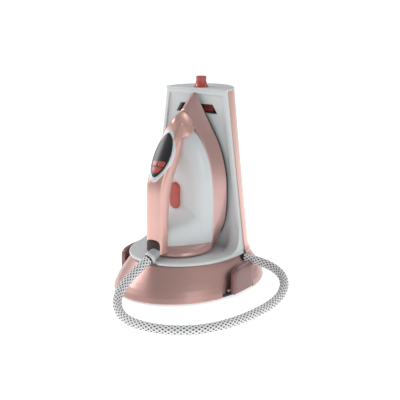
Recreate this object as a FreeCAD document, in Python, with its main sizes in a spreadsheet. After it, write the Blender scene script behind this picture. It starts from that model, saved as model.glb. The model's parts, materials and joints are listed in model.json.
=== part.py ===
import FreeCAD, Part
import math
import os
import Sketcher

from FreeCAD import Matrix, Placement, Rotation, Vector

# Steam station with its iron docked upright.  Millimetres, +Z up, origin at the middle
# of the base on the surface it stands on; the handle of the docked iron points to -Y.

doc = FreeCAD.newDocument("steam_station_iron")
sheet = doc.addObject("Spreadsheet::Sheet", "Sizes")

SIZES = (
    ("foot_height", 3.0), ("foot_radius", 9.0), ("foot_offset_x", 66.0), ("foot_offset_y", 92.0),
    ("base_half_width", 112.7), ("base_half_depth", 148.0), ("plate_thickness", 3.0),
    ("wall", 2.6), ("drum_top", 53.4), ("seal_half_width", 70.0), ("seal_half_depth", 90.0),
    ("ledge_bottom", 55.0), ("ledge_top", 61.0), ("ledge_half_width", 93.0), ("ledge_reach", 114.0),
    ("face_offset", 17.0), ("shell_split", 24.0), ("stand_top", 316.0), ("stand_half_top", 57.6),
    ("stand_half_foot", 90.0), ("stand_depth_top", 72.5), ("stand_depth_foot", 74.0),
    ("niche_depth", 3.0), ("rim_width", 6.0), ("cap_height", 6.0),
    ("slot_low", 281.0), ("slot_high", 296.0), ("slot_half_low", 40.0), ("slot_half_high", 31.0),
    ("knob_radius", 8.0), ("knob_flare", 11.5), ("knob_height", 17.5), ("knob_travel", 6.0),
    ("knob_offset", 34.0), ("hook_travel", 4.0),
    ("lever_length", 56.0), ("lever_thickness", 7.0), ("lever_height", 38.0), ("lever_offset", 108.0),
    ("lever_middle", -14.0), ("lever_pin_height", 12.0), ("lever_pin_radius", 2.0),
    ("sole_plane", 15.5), ("sole_thickness", 4.0), ("nose_height", 314.0), ("heel_height", 63.0),
    ("skirt_edge", -17.0), ("body_crown", -42.0), ("handle_half_width", 17.5),
    ("display_length", 75.0), ("display_width", 27.0), ("bezel_width", 4.5), ("button_travel", 1.0),
    ("steam_button_width", 19.0), ("steam_button_length", 44.0), ("steam_button_travel", 3.0),
    ("rest_pad_thickness", 1.7),
    ("hose_radius", 7.25), ("running_gap", 0.3),
)
for row, (alias, value) in enumerate(SIZES, start=1):
    sheet.set(f"A{row}", alias.replace("_", " "))
    sheet.set(f"B{row}", str(value))
    sheet.setAlias(f"B{row}", alias)
doc.recompute()
SIZE = {alias: float(sheet.get(alias)) for alias, value in SIZES}
GAP = SIZE["running_gap"]
X_AXIS = Vector(1, 0, 0)
Y_AXIS = Vector(0, 1, 0)
Z_AXIS = Vector(0, 0, 1)
nodes = {}


# ---------------------------------------------------------------- helpers

def finish(thing, label):
    """Give a sub-part its own label, which also names its file."""
    thing.Label = label
    nodes[label] = thing
    return thing


def bind(thing, **expressions):
    """Bind properties to cells of the sheet."""
    for name, expression in expressions.items():
        thing.setExpression(name, expression)
    return thing


def primitive(kind, at=(0, 0, 0), turn=None, **expressions):
    """A Part primitive whose sizes are bound to the sheet."""
    thing = doc.addObject(f"Part::{kind}", kind)
    thing.Placement = Placement(Vector(*at), turn or Rotation())
    return bind(thing, **{name: str(value) for name, value in expressions.items()})


def box(low, high):
    """A box between two corners."""
    spans = [high[i] - low[i] for i in range(3)]
    return primitive("Box", low, Length=spans[0], Width=spans[1], Height=spans[2])


def along(axis):
    """The rotation that turns +Z to the axis given."""
    return Rotation(Z_AXIS, Vector(*axis))


def rod(at, axis, radius, length):
    """A cylinder from a point, along an axis."""
    return primitive("Cylinder", at, along(axis), Radius=radius, Height=length)


def cut(base, *tools):
    """The base less each of the tools."""
    for tool in tools:
        step = doc.addObject("Part::Cut", "Cut")
        step.Base = base
        step.Tool = tool
        base = step
    return base


def fuse(*things):
    """One solid of several."""
    step = doc.addObject("Part::MultiFuse", "Fuse")
    step.Shapes = list(things)
    step.Refine = True
    return step


def common(first, second):
    """What two solids share."""
    step = doc.addObject("Part::MultiCommon", "Common")
    step.Shapes = [first, second]
    return step


def group(*things):
    """Several separate solids kept as one node."""
    step = doc.addObject("Part::Compound", "Group")
    step.Links = list(things)
    return step


def oval(half_x, half_y, height, middle_y=0.0):
    """A level ellipse with its longer axis found by itself."""
    thing = doc.addObject("Part::Ellipse", "Oval")
    turn = Rotation(Z_AXIS, 90) if half_y > half_x else Rotation()
    thing.Placement = Placement(Vector(0, middle_y, height), turn)
    return bind(thing, MajorRadius=str(max(half_x, half_y)), MinorRadius=str(min(half_x, half_y)))


def oval_loft(sections, middle_y=0.0, ruled=True):
    """A closed solid through level ellipses given as (half x, half y, height)."""
    thing = doc.addObject("Part::Loft", "OvalLoft")
    thing.Sections = [oval(*section, middle_y) for section in sections]
    thing.Solid = True
    thing.Ruled = ruled
    return thing


def new_body(label=None, at=(0, 0, 0), turn=None):
    """A PartDesign body: the node of that name, or with no name only a step towards one."""
    body = doc.addObject("PartDesign::Body", "Body")
    body.Placement = Placement(Vector(*at), turn or Rotation())
    return finish(body, label) if label else body


def plane_of(body, role):
    """One of the origin planes of a body."""
    return next(item for item in body.Origin.OriginFeatures if item.Role == role)


def new_sketch(body, role="XY_Plane", offset="0"):
    """A sketch on an origin plane of its body, moved off it along its normal."""
    sketch = body.newObject("Sketcher::SketchObject", "Sketch")
    sketch.AttachmentSupport = [(plane_of(body, role), "")]
    sketch.MapMode = "FlatFace"
    sketch.setExpression("AttachmentOffset.Base.z", offset)
    return sketch


def draw_loop(sketch, points):
    """A closed outline of straight lines."""
    corners = [Vector(*point, 0) for point in points]
    first = sketch.GeometryCount
    for start, end in zip(corners, corners[1:] + corners[:1]):
        sketch.addGeometry(Part.LineSegment(start, end), False)
    count = len(corners)
    for index in range(count):
        here, after = first + index, first + (index + 1) % count
        sketch.addConstraint(Sketcher.Constraint("Coincident", here, 2, after, 1))


def draw_rectangle(sketch, wide, high, middle=(0.0, 0.0)):
    """A rectangle whose two sides are bound to the expressions given."""
    x, y = middle
    draw_loop(sketch, ((x - 5, y - 5), (x + 5, y - 5), (x + 5, y + 5), (x - 5, y + 5)))
    base = sketch.GeometryCount - 4
    for index, kind in enumerate(("Horizontal", "Vertical", "Horizontal", "Vertical")):
        sketch.addConstraint(Sketcher.Constraint(kind, base + index))
    for kind, line, expression, centre in (("DistanceX", base, wide, x), ("DistanceY", base + 1, high, y)):
        across = sketch.addConstraint(Sketcher.Constraint(kind, line, 1, line, 2, 10.0))
        sketch.setExpression(f"Constraints[{across}]", expression)
        place = sketch.addConstraint(Sketcher.Constraint(kind, -1, 1, line, 1, -5.0))
        sketch.setExpression(f"Constraints[{place}]", f"{centre} - ({expression}) / 2")


def draw_circle(sketch, radius, middle=(0.0, 0.0)):
    """A circle with its radius bound to the expression given."""
    index = sketch.addGeometry(Part.Circle(Vector(*middle, 0), Z_AXIS, 5.0), False)
    across = sketch.addConstraint(Sketcher.Constraint("Radius", index, 5.0))
    sketch.setExpression(f"Constraints[{across}]", radius)
    for kind, value in (("DistanceX", middle[0]), ("DistanceY", middle[1])):
        sketch.addConstraint(Sketcher.Constraint(kind, -1, 1, index, 3, value))


def draw_stadium(sketch, width, length):
    """A stadium, long in y, as two straight sides and two round ends."""
    half, reach = width / 2, (length - width) / 2
    ends = ((reach, 0.0, math.pi), (-reach, math.pi, 2 * math.pi))
    for middle, start, stop in ends:
        circle = Part.Circle(Vector(0, middle, 0), Z_AXIS, half)
        sketch.addGeometry(Part.ArcOfCircle(circle, start, stop), False)
    sketch.addGeometry(Part.LineSegment(Vector(-half, reach, 0), Vector(-half, -reach, 0)), False)
    sketch.addGeometry(Part.LineSegment(Vector(half, -reach, 0), Vector(half, reach, 0)), False)


def draw_almond(sketch, length, width):
    """A pointed oval, long in y, as two arcs that meet at its tips."""
    tip_up, tip_down = Vector(0, length / 2, 0), Vector(0, -length / 2, 0)
    for side in (-1, 1):
        arc = Part.Arc(tip_down, Vector(side * width / 2, 0, 0), tip_up)
        sketch.addGeometry(arc, False)


def pad(body, sketch, length, symmetric=False):
    """Raise a sketch into a solid."""
    feature = body.newObject("PartDesign::Pad", "Pad")
    feature.Profile = sketch
    feature.setExpression("Length", length)
    feature.Midplane = symmetric
    return feature


def pocket(body, sketch, length, reverse=False, through=False):
    """Sink a sketch into the solid, and make sure that it did cut."""
    doc.recompute()
    before = body.Shape.Volume
    feature = body.newObject("PartDesign::Pocket", "Pocket")
    feature.Profile = sketch
    feature.Reversed = reverse
    if through:
        feature.Type = "ThroughAll"
        feature.Midplane = True
    else:
        feature.setExpression("Length", length)
    doc.recompute()
    assert feature.Shape.Volume < before - 1e-3, f"pocket cuts nothing in {body.Label}"
    return feature


def turned(label, profile, at=(0, 0, 0), turn=None):
    """A body turned about its own Z axis from (radius, height) points."""
    body = new_body(label, at, turn)
    sketch = new_sketch(body, "XZ_Plane")
    draw_loop(sketch, profile)
    feature = body.newObject("PartDesign::Revolution", "Revolution")
    feature.Profile = sketch
    feature.ReferenceAxis = (sketch, ["V_Axis"])
    feature.Angle = 360
    return body


def tube_profile(inner, outer, low, high):
    """The half section of a plain tube."""
    return ((inner, low), (outer, low), (outer, high), (inner, high))


def round_edges(thing, radius, chosen):
    """Fillet the edges of a Part feature for which the test holds."""
    doc.recompute()
    step = doc.addObject("Part::Fillet", "Round")
    step.Base = thing
    edges = enumerate(thing.Shape.Edges, start=1)
    step.Edges = [(index, radius, radius) for index, edge in edges if chosen(edge)]
    return step


BEND_SHARE = 0.45


def rounded_path(points):
    """Straight runs joined by tangent arcs, each as large as its two runs allow."""
    corners = [Vector(*point) for point in points]
    edges = []
    radii = []
    length = 0.0
    start = corners[0]
    for before, here, after in zip(corners, corners[1:], corners[2:]):
        into, out = (here - before), (after - here)
        reach = BEND_SHARE * min(into.Length, out.Length)
        into.normalize()
        out.normalize()
        half_turn = into.getAngle(out) / 2
        radius = reach / math.tan(half_turn)
        first, last = here - into * reach, here + out * reach
        toward = (out - into).normalize()
        middle = here + toward * (radius / math.cos(half_turn) - radius)
        edges.append(Part.LineSegment(start, first).toShape())
        edges.append(Part.Arc(first, middle, last).toShape())
        length += (first - start).Length + 2 * half_turn * radius
        radii.append(radius)
        start = last
    edges.append(Part.LineSegment(start, corners[-1]).toShape())
    length += (corners[-1] - start).Length
    return Part.Wire(edges), length, radii


def tube_along(label, points, radius):
    """A round bar swept along a rounded path; its length and bends are printed."""
    path, length, radii = rounded_path(points)
    heading = Vector(*points[1]) - Vector(*points[0])
    section = Part.Wire(Part.Circle(Vector(*points[0]), heading, radius).toShape())
    tube = doc.addObject("Part::Feature", "Tube")
    tube.Shape = path.makePipeShell([section], True, True)
    expected = math.pi * radius ** 2 * length
    print(f"{label}: length {length:.0f}, volume {tube.Shape.Volume:.0f} of {expected:.0f}, bends of radius",
          *(round(value) for value in radii))
    return finish(tube, label)


# ---------------------------------------------------------------- base

CORNERS = ((-1, -1), (-1, 1), (1, -1), (1, 1))
FOOT_PLACES = [(side * SIZE["foot_offset_x"], end * SIZE["foot_offset_y"]) for side, end in CORNERS]
SCREW_PLACES = [(side * 40.0, end * 118.0) for side, end in CORNERS]
SCREW_RADIUS = 1.75
SCREW_HEAD = 3.4
PLATE_LOW = SIZE["foot_height"]
PLATE_HIGH = PLATE_LOW + SIZE["plate_thickness"]
FOOT_SINK = 1.2
LIP = 4.0


def make_base_plate():
    """The bottom plate: an oval with four foot recesses, screw holes and vents."""
    body = new_body("base_plate", (0, 0, PLATE_LOW))
    sketch = new_sketch(body)
    half = SIZE["base_half_width"] - LIP
    middle = Part.Ellipse(Vector(0, 0, 0), half * SIZE["base_half_depth"] / SIZE["base_half_width"], half)
    middle.rotate(Placement(Vector(), Rotation(Z_AXIS, 90)))
    sketch.addGeometry(middle, False)
    pad(body, sketch, "Sizes.plate_thickness")
    feet = new_sketch(body)
    for place in FOOT_PLACES:
        draw_circle(feet, "Sizes.foot_radius", place)
    pocket(body, feet, f"{FOOT_SINK}", reverse=True)
    holes = new_sketch(body)
    for place in SCREW_PLACES:
        draw_circle(holes, f"{SCREW_RADIUS + 0.1}", place)
    pocket(body, holes, "", through=True)
    vents = new_sketch(body)
    for step in range(-3, 4):
        draw_rectangle(vents, "3", "36", (step * 9.0, 60.0))
    pocket(body, vents, "", through=True)


def make_feet_and_screws():
    """Four rubber feet and the four screws that hold the plate to the drum."""
    height = SIZE["foot_height"] + FOOT_SINK
    feet = [rod((x, y, 0), (0, 0, 1), "Sizes.foot_radius - 0.1", height) for x, y in FOOT_PLACES]
    finish(group(*feet), "rubber_feet")
    screws = []
    for x, y in SCREW_PLACES:
        head = rod((x, y, PLATE_LOW - 1.8), (0, 0, 1), SCREW_HEAD, 1.8)
        shank = rod((x, y, PLATE_LOW - 1.0), (0, 0, 1), SCREW_RADIUS, 13.0)
        screws.append(fuse(head, shank))
    finish(group(*screws), "base_screws")


# The dome of the drum as (share of the full oval, height).
DRUM_PROFILE = ((1.0, 3.0), (0.985, 12.0), (0.95, 21.0), (0.905, 30.0), (0.855, 39.0), (0.81, 47.0),
                (0.775, 53.4))
STRETCH = SIZE["base_half_depth"] / SIZE["base_half_width"]
HOLE_HALF_WIDTH = SIZE["seal_half_width"] - 18.0
HOLE_HALF_DEPTH = HOLE_HALF_WIDTH * STRETCH
BAY_FLOOR = 95.0
BAY_WALL = 2.4
PORT_HEIGHT = 47.0
PORT_START = Vector(56.0, 8.0, PORT_HEIGHT)
PORT_AIM = Vector(0.898, 0.44, 0.0).normalize()
PORT_LENGTH = 18.0
PORT_END = PORT_START + PORT_AIM * PORT_LENGTH
CHANNEL_RADIUS = 10.0
MAINS_PLACE = Vector(0.0, 121.0, 20.0)


def bay_tool(side, grow):
    """The scooped recess that a side latch stands in."""
    middle, half = SIZE["lever_middle"], SIZE["lever_length"] / 2 + 2.0
    low = (BAY_FLOOR - grow, middle - half - grow, -1.0)
    high = (130.0, middle + half + grow, 60.0)
    if side < 0:
        low, high = (-high[0], low[1], low[2]), (-low[0], high[1], high[2])
    scoop = rod((side * 124.0, middle - half - 4.0, -1.0), (0, 0, 1), 26.0 + grow, 61.0)
    return fuse(box(low, high), scoop)


def drum_profile():
    """The half section of the drum: dome outside, wall, and a step for the base plate."""
    wall, width = SIZE["wall"], SIZE["base_half_width"]
    outer = [(share * width, height) for share, height in DRUM_PROFILE]
    inner = [(share * width - wall, height - 0.5 * wall) for share, height in DRUM_PROFILE[1:-1]]
    high = SIZE["drum_top"]
    rim = (HOLE_HALF_WIDTH, high), (HOLE_HALF_WIDTH, high - wall), (outer[-1][0], high - wall)
    step = (inner[0][0], PLATE_HIGH), (width - LIP + 0.2, PLATE_HIGH), (width - LIP + 0.2, PLATE_LOW)
    return (*outer, *rim, *inner[::-1], *step)


def turned_oval(profile):
    """A solid turned about Z and then stretched along Y to the oval of the base."""
    round_body = turned(None, profile)
    doc.recompute()
    thing = doc.addObject("Part::Feature", "Oval")
    matrix = Matrix()
    matrix.scale(1.0, STRETCH, 1.0)
    thing.Shape = round_body.Shape.transformGeometry(matrix)
    return thing


def make_drum():
    """The domed cover of the base, with its bays, screw posts, gland hole, pin holes and port channel."""
    low, high = PLATE_HIGH, SIZE["drum_top"] - 1.0
    skin = [(share * SIZE["base_half_width"] - 1.0, height - 1.0) for share, height in DRUM_PROFILE[1:]]
    shell = turned_oval(drum_profile())
    dome = turned_oval(((0.0, low), *skin, (0.0, high)))
    walls = [common(bay_tool(side, BAY_WALL), dome) for side in (-1, 1)]
    posts = [rod((x, y, low), (0, 0, 1), 4.0, 21.5) for x, y in SCREW_PLACES]
    bays = [bay_tool(side, 0.0) for side in (-1, 1)]
    pilots = [rod((x, y, 0), (0, 0, 1), SCREW_RADIUS, 18.0) for x, y in SCREW_PLACES]
    gland = rod(tuple(MAINS_PLACE), (0, 1, 0), 8.1, 40.0)
    channel = rod(tuple(PORT_START - PORT_AIM * 6.0), PORT_AIM, CHANNEL_RADIUS, 70.0)
    reach = SIZE["lever_length"] + 9.0
    start = SIZE["lever_middle"] - reach / 2
    pins = [rod((side * (SIZE["lever_offset"] - 4.0), start, SIZE["lever_pin_height"]), (0, 1, 0),
                "Sizes.lever_pin_radius", reach) for side in (-1, 1)]
    finish(cut(fuse(shell, *walls, *posts), *bays, *pilots, gland, channel, *pins), "base_drum")


def make_seal():
    """The dark seal between drum and stand, with the notch for the steam port."""
    outer = (SIZE["seal_half_width"], SIZE["seal_half_depth"])
    inner = (outer[0] - 6.0, outer[1] - 6.0)
    low, high = SIZE["drum_top"], SIZE["ledge_bottom"]
    bore = oval_loft(((*inner, low - 1.0), (*inner, high + 1.0)))
    notch = rod(tuple(PORT_START - PORT_AIM * 20.0), PORT_AIM, 7.8, 60.0)
    finish(cut(oval_loft(((*outer, low), (*outer, high))), bore, notch), "neck_seal")


def make_base_inside():
    """Boiler, pump, control board, mains gland and steam pipe inside the base."""
    boiler = new_body("boiler", (0, -62.0, 8.5))
    sketch = new_sketch(boiler)
    draw_circle(sketch, "34")
    pad(boiler, sketch, "21")
    cap = new_sketch(boiler, offset="21")
    draw_circle(cap, "9")
    pad(boiler, cap, "2.5")

    pump = fuse(box((-32.0, 40.0, 8.0), (-4.0, 96.0, 26.0)), rod((-18.0, 25.0, 17.0), (0, 1, 0), 8.5, 86.0))
    finish(pump, "pump")

    board = new_body("control_board", (34.0, 66.0, 9.0))
    sketch = new_sketch(board)
    draw_rectangle(sketch, "52", "58")
    pad(board, sketch, "1.6")
    parts = new_sketch(board, offset="1.6")
    draw_rectangle(parts, "16", "20", (-12.0, 10.0))
    draw_rectangle(parts, "12", "12", (12.0, -12.0))
    pad(board, parts, "12")

    turned("mains_gland", tube_profile(3.6, 8.0, 0.0, 25.0),
           tuple(MAINS_PLACE), along((0, 1, 0)))
    port = ((3.5, -4.0), (6.9, -4.0), (6.9, 11.0), (7.6, 11.0), (7.6, PORT_LENGTH), (3.5, PORT_LENGTH))
    turned("steam_port", port, tuple(PORT_START), along(PORT_AIM))
    route = ((14.0, -40.0, 29.8), (14.0, -40.0, PORT_HEIGHT), tuple(PORT_START - PORT_AIM * 40.0),
             tuple(PORT_START - PORT_AIM * 4.3))
    tube_along("steam_pipe", route, 3.0)


# ---------------------------------------------------------------- stand

KNOB_AXIS = (0.0, SIZE["knob_offset"])
CAP_LOW = SIZE["stand_top"]
CAP_HIGH = CAP_LOW + SIZE["cap_height"]
WELL_FLOOR = CAP_HIGH - SIZE["knob_travel"] - 0.6
WELL_RADIUS = SIZE["knob_flare"] + 0.5

def stand_loft(inset, low, high):
    """The upright as a tapered half oval behind the docking face."""
    sections = []
    for level in (low, high):
        share = (SIZE["stand_top"] - level) / (SIZE["stand_top"] - SIZE["ledge_top"])
        half = SIZE["stand_half_top"] + share * (SIZE["stand_half_foot"] - SIZE["stand_half_top"])
        deep = SIZE["stand_depth_top"] + share * (SIZE["stand_depth_foot"] - SIZE["stand_depth_top"])
        sections.append((half - inset, deep - inset, level))
    return oval_loft(sections, SIZE["face_offset"])


def slab(front, back, low, high):
    """Everything between two planes of constant y."""
    return box((-140.0, front, low), (140.0, back, high))


def trapezoid(low_half, high_half, low, high, start, stop):
    """A trapezoid facing -Y, from one plane of constant y to another."""
    thing = doc.addObject("Part::Feature", "Trapezoid")
    corners = ((-low_half, low), (low_half, low), (high_half, high), (-high_half, high))
    wire = Part.makePolygon([Vector(x, start, z) for x, z in corners + corners[:1]])
    thing.Shape = Part.Face(wire).extrude(Vector(0, stop - start, 0))
    return thing


def side_prism(profile, start, stop):
    """A solid with a (y, z) outline, from one x to another."""
    thing = doc.addObject("Part::Feature", "SidePrism")
    wire = Part.makePolygon([Vector(start, y, z) for y, z in profile + profile[:1]])
    thing.Shape = Part.Face(wire).extrude(Vector(stop - start, 0, 0))
    return thing


def floor_hole(low, high):
    """The oval opening between the stand and the drum, as a tool."""
    return oval_loft(((HOLE_HALF_WIDTH, HOLE_HALF_DEPTH, low), (HOLE_HALF_WIDTH, HOLE_HALF_DEPTH, high)))


def make_front_shell():
    """The white docking face with its niche and slot, in one piece with the ledge."""
    face, split = SIZE["face_offset"], SIZE["shell_split"]
    low, high = SIZE["ledge_bottom"], SIZE["stand_top"]
    foot, top, rim = SIZE["stand_half_foot"], SIZE["stand_half_top"], SIZE["rim_width"]
    upright = trapezoid(foot, top, low + 1.0, high, face, split)
    ledge = cut(oval_loft(((SIZE["ledge_half_width"], SIZE["ledge_reach"], low),
                           (SIZE["ledge_half_width"], SIZE["ledge_reach"], SIZE["ledge_top"]))),
                slab(split, 200.0, low - 1.0, high))
    wing = ((-16.0, 60.0), (-16.0, 61.2), (-2.0, 64.5), (8.0, 73.0), (14.0, 84.0), (split - 1.0, 100.0),
            (split - 1.0, 60.0))
    wings = [side_prism(wing, side * 66.0, side * 84.0) for side in (-1, 1)]
    niche = trapezoid(foot - rim - 1.0, top - rim, SIZE["ledge_top"] + 0.5, high - 4.0,
                      face - 1.0, face + SIZE["niche_depth"])
    slot = trapezoid(SIZE["slot_half_low"], SIZE["slot_half_high"], SIZE["slot_low"], SIZE["slot_high"],
                     0.0, 40.0)
    hole = floor_hole(low - 2.0, low + 3.0)
    dip = rod((-15.0, HOSE_START.y, HOSE_START.z), (1, 0, 0), 13.5, 30.0)
    cup = rod((*KNOB_AXIS, WELL_FLOOR - 2.5), (0, 0, 1), WELL_RADIUS + 2.0, 20.0)
    finish(cut(fuse(upright, ledge, *wings), niche, slot, hole, cup, dip), "front_shell")


def make_rear_shell():
    """The rose back of the stand, a tapered half oval with walls and a closed floor."""
    split, low, high = SIZE["shell_split"] + 0.1, SIZE["ledge_bottom"], SIZE["stand_top"]
    grow = 1.5
    profile = ((SIZE["stand_half_foot"] + 6.0, SIZE["stand_depth_foot"] + 8.0, low),
               (SIZE["stand_half_foot"] + grow, SIZE["stand_depth_foot"] + grow, low + 14.0),
               (SIZE["stand_half_top"] + grow, SIZE["stand_depth_top"] + grow, high))
    outer = cut(oval_loft(profile, SIZE["face_offset"]), slab(-200.0, split, low - 1.0, high + 1.0))
    inner = stand_loft(SIZE["wall"], low + 3.0, high + 1.0)
    hole = floor_hole(low - 2.0, low + 5.0)
    finish(cut(outer, inner, hole), "rear_shell")


def make_top_cap():
    """The white cap, a D of the same outline, with the well and guide tube of the knob."""
    high = CAP_HIGH
    top = common(oval_loft(((SIZE["stand_half_top"] + 1.5, SIZE["stand_depth_top"] + 1.5, CAP_LOW),
                            (SIZE["stand_half_top"] + 1.5, SIZE["stand_depth_top"] + 1.5, high - 2.0),
                            (SIZE["stand_half_top"] - 2.0, SIZE["stand_depth_top"] - 2.0, high)),
                           SIZE["face_offset"]),
                 slab(SIZE["face_offset"] - 1.0, 150.0, CAP_LOW, high))
    guide = rod((*KNOB_AXIS, CAP_LOW - 16.0), (0, 0, 1), 8.5, 18.0)
    cup = rod((*KNOB_AXIS, WELL_FLOOR - 2.0), (0, 0, 1), WELL_RADIUS + 1.6, CAP_HIGH - WELL_FLOOR)
    bore = rod((*KNOB_AXIS, CAP_LOW - 17.0), (0, 0, 1), 3.05, 40.0)
    spring_well = rod((*KNOB_AXIS, CAP_LOW - 12.0), (0, 0, 1), 7.0, 40.0)
    knob_well = rod((*KNOB_AXIS, WELL_FLOOR), (0, 0, 1), WELL_RADIUS, 40.0)
    finish(cut(fuse(top, cup, guide), bore, spring_well, knob_well), "top_cap")


WEDGE_LOW = 276.0


def make_lock():
    """Press knob with its rod and wedge, the return spring, the hook and its guide."""
    wide, flare, high = SIZE["knob_radius"], SIZE["knob_flare"], SIZE["knob_height"]
    turned("lock_knob", ((0.0, 0.0), (flare, 0.0), (flare - 0.5, 2.0), (wide + 0.4, 6.0), (wide, high - 1.0),
                         (wide - 1.0, high), (0.0, high)), (*KNOB_AXIS, CAP_HIGH))
    stem = rod((*KNOB_AXIS, WEDGE_LOW + 8.0), (0, 0, 1), 3.0, CAP_HIGH - WEDGE_LOW - 8.0)
    middle = SIZE["knob_offset"]
    foot = box((-8.0, middle - 5.0, WEDGE_LOW), (8.0, middle + 5.0, WEDGE_LOW + 8.0))
    finish(fuse(stem, foot), "lock_rod")

    low, high = CAP_LOW - 11.8, CAP_HIGH - 0.2
    wire_radius, coil_radius = 0.6, 5.2
    helix = Part.makeHelix((high - low - 2 * wire_radius) / 5.0, high - low - 2 * wire_radius, coil_radius)
    circle = Part.Wire(Part.Circle(Vector(coil_radius, 0, 0), Y_AXIS, wire_radius).toShape())
    coil = Part.Wire(helix).makePipeShell([circle], True, True)
    spring = doc.addObject("Part::Feature", "Spring")
    spring.Shape = coil
    spring.Placement = Placement(Vector(*KNOB_AXIS, low + wire_radius), Rotation())
    finish(spring, "knob_spring")

    hook = fuse(box((11.0, 25.0, 284.0), (29.0, 31.0, 295.0)), box((11.0, 28.0, 286.0), (29.0, 34.5, 293.0)))
    finish(hook, "lock_hook")
    frame = cut(box((9.0, 25.2, 279.0), (33.0, 36.4, 299.0)), box((10.6, 24.0, 283.4), (34.0, 37.0, 295.6)))
    finish(frame, "hook_guide")


FEED_PLACE = (-18.0, 56.0)


def make_tank():
    """The water tank inside the upright and the tube that feeds the pump."""
    outer = common(stand_loft(6.0, 64.0, 262.0), slab(38.0, 150.0, 64.0, 262.0))
    inner = common(stand_loft(8.5, 66.5, 263.0), slab(40.5, 150.0, 66.5, 259.5))
    x, y = FEED_PLACE
    spout = rod((x, y, 56.0), (0, 0, 1), 5.0, 12.0)
    bore = rod((x, y, 50.0), (0, 0, 1), 3.0, 30.0)
    finish(cut(fuse(outer, spout), inner, bore), "water_tank")
    feed = cut(rod((x, y, 26.2), (0, 0, 1), 4.0, 29.6), rod((x, y, 25.0), (0, 0, 1), 2.5, 40.0))
    finish(feed, "feed_tube")


def make_heel_rest():
    """The dark silicone pad on the ledge that the heel of the iron stands on."""
    body = new_body("heel_rest", (0, -34.0, SIZE["ledge_top"]))
    sketch = new_sketch(body)
    draw_rectangle(sketch, "96", "78")
    pad(body, sketch, "Sizes.rest_pad_thickness")


def make_side_latch(side, name):
    """A flap beside the drum that swings out on a pin along its lower edge."""
    middle, offset = SIZE["lever_middle"], SIZE["lever_offset"]
    length, thick, high = SIZE["lever_length"], SIZE["lever_thickness"], SIZE["lever_height"]
    body = new_body(f"side_latch_{name}", (side * (offset - 4.0), middle, SIZE["lever_pin_height"]))
    sketch = new_sketch(body, "XZ_Plane")
    low = 7.0 - SIZE["lever_pin_height"]
    top = high + low
    outline = ((-2.5, low), (3.0, low), (4.5 + thick, top - 4.0), (0.5 + thick, top), (4.0, top - 2.0))
    draw_loop(sketch, [(side * x, z) for x, z in outline])
    pad(body, sketch, "Sizes.lever_length", symmetric=True)
    bore = new_sketch(body, "XZ_Plane")
    draw_circle(bore, "Sizes.lever_pin_radius + 0.05")
    pocket(body, bore, "", through=True)
    pin = rod((side * (offset - 4.0), middle - length / 2 - 4.5, SIZE["lever_pin_height"]), (0, 1, 0),
              "Sizes.lever_pin_radius", length + 9.0)
    finish(pin, f"latch_pin_{name}")


# ---------------------------------------------------------------- iron

# Right half of the sole and of the heat skirt as (half width, height), nose first.
SOLE_HALF = ((30.5, 267.0), (50.0, 231.0), (61.5, 190.0), (64.0, 150.0), (61.0, 112.0), (53.0, 90.0))
SKIRT_HALF = ((21.5, 264.0), (38.5, 236.5), (52.5, 197.0), (57.0, 150.0), (56.5, 108.0), (53.0, 84.0))
BODY_HALF = ((19.5, 261.0), (38.5, 234.5), (52.5, 196.0), (57.0, 150.0), (56.5, 108.0), (54.0, 90.0))
CROWN_HALF = ((9.0, 230.0), (20.0, 212.0), (30.0, 186.0), (33.0, 150.0), (33.0, 110.0), (32.0, 84.0))


def boat_sketch(body, level, half, nose, heel, heel_half, inset=0.0):
    """A boat outline on a plane of constant y: two curved sides and a straight heel."""
    sketch = new_sketch(body, "XZ_Plane", f"{-level}")
    points = [(0.0, nose - 1.6 * inset)]
    points += [(max(wide - inset, 0.5), high) for wide, high in half]
    points += [(heel_half - inset, heel + inset)]
    right = Part.BSplineCurve()
    right.interpolate([Vector(x, z, 0) for x, z in points])
    left = Part.BSplineCurve()
    left.interpolate([Vector(-x, z, 0) for x, z in points])
    sketch.addGeometry(right, False)
    sketch.addGeometry(left, False)
    base = heel_half - inset
    sketch.addGeometry(Part.LineSegment(Vector(-base, heel + inset, 0), Vector(base, heel + inset, 0)), False)
    return sketch


def boat_loft(body, sketches, subtract=False):
    """A loft through boat outlines, added or taken away."""
    kind = "SubtractiveLoft" if subtract else "AdditiveLoft"
    feature = body.newObject(f"PartDesign::{kind}", kind)
    feature.Profile = sketches[0]
    feature.Sections = sketches[1:]
    feature.Ruled = len(sketches) == 2
    return feature


SOLE = SIZE["sole_plane"]
SOLE_TOP = SOLE - SIZE["sole_thickness"]
NOSE, HEEL = SIZE["nose_height"], SIZE["heel_height"]
SKIRT_EDGE = SIZE["skirt_edge"]
CROWN = SIZE["body_crown"]


def make_soleplate():
    """The polished sole and the cast heater block behind it."""
    sole = new_body("soleplate")
    outline = boat_sketch(sole, SOLE, SOLE_HALF, NOSE, 80.0, 44.0)
    pad(sole, outline, "Sizes.sole_thickness")
    steam = new_sketch(sole, "XZ_Plane", f"{-SOLE}")
    for row in range(6):
        for side in (-1, 1):
            draw_circle(steam, "1.5", (side * (10.0 + 5.0 * row), 262.0 - 18.0 * row))
    pocket(sole, steam, "", through=True)
    block = new_body("heater_casting")
    outline = boat_sketch(block, SOLE_TOP - 0.05, SOLE_HALF, NOSE - 40.0, 98.0, 41.0, 14.0)
    pad(block, outline, "12")


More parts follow.
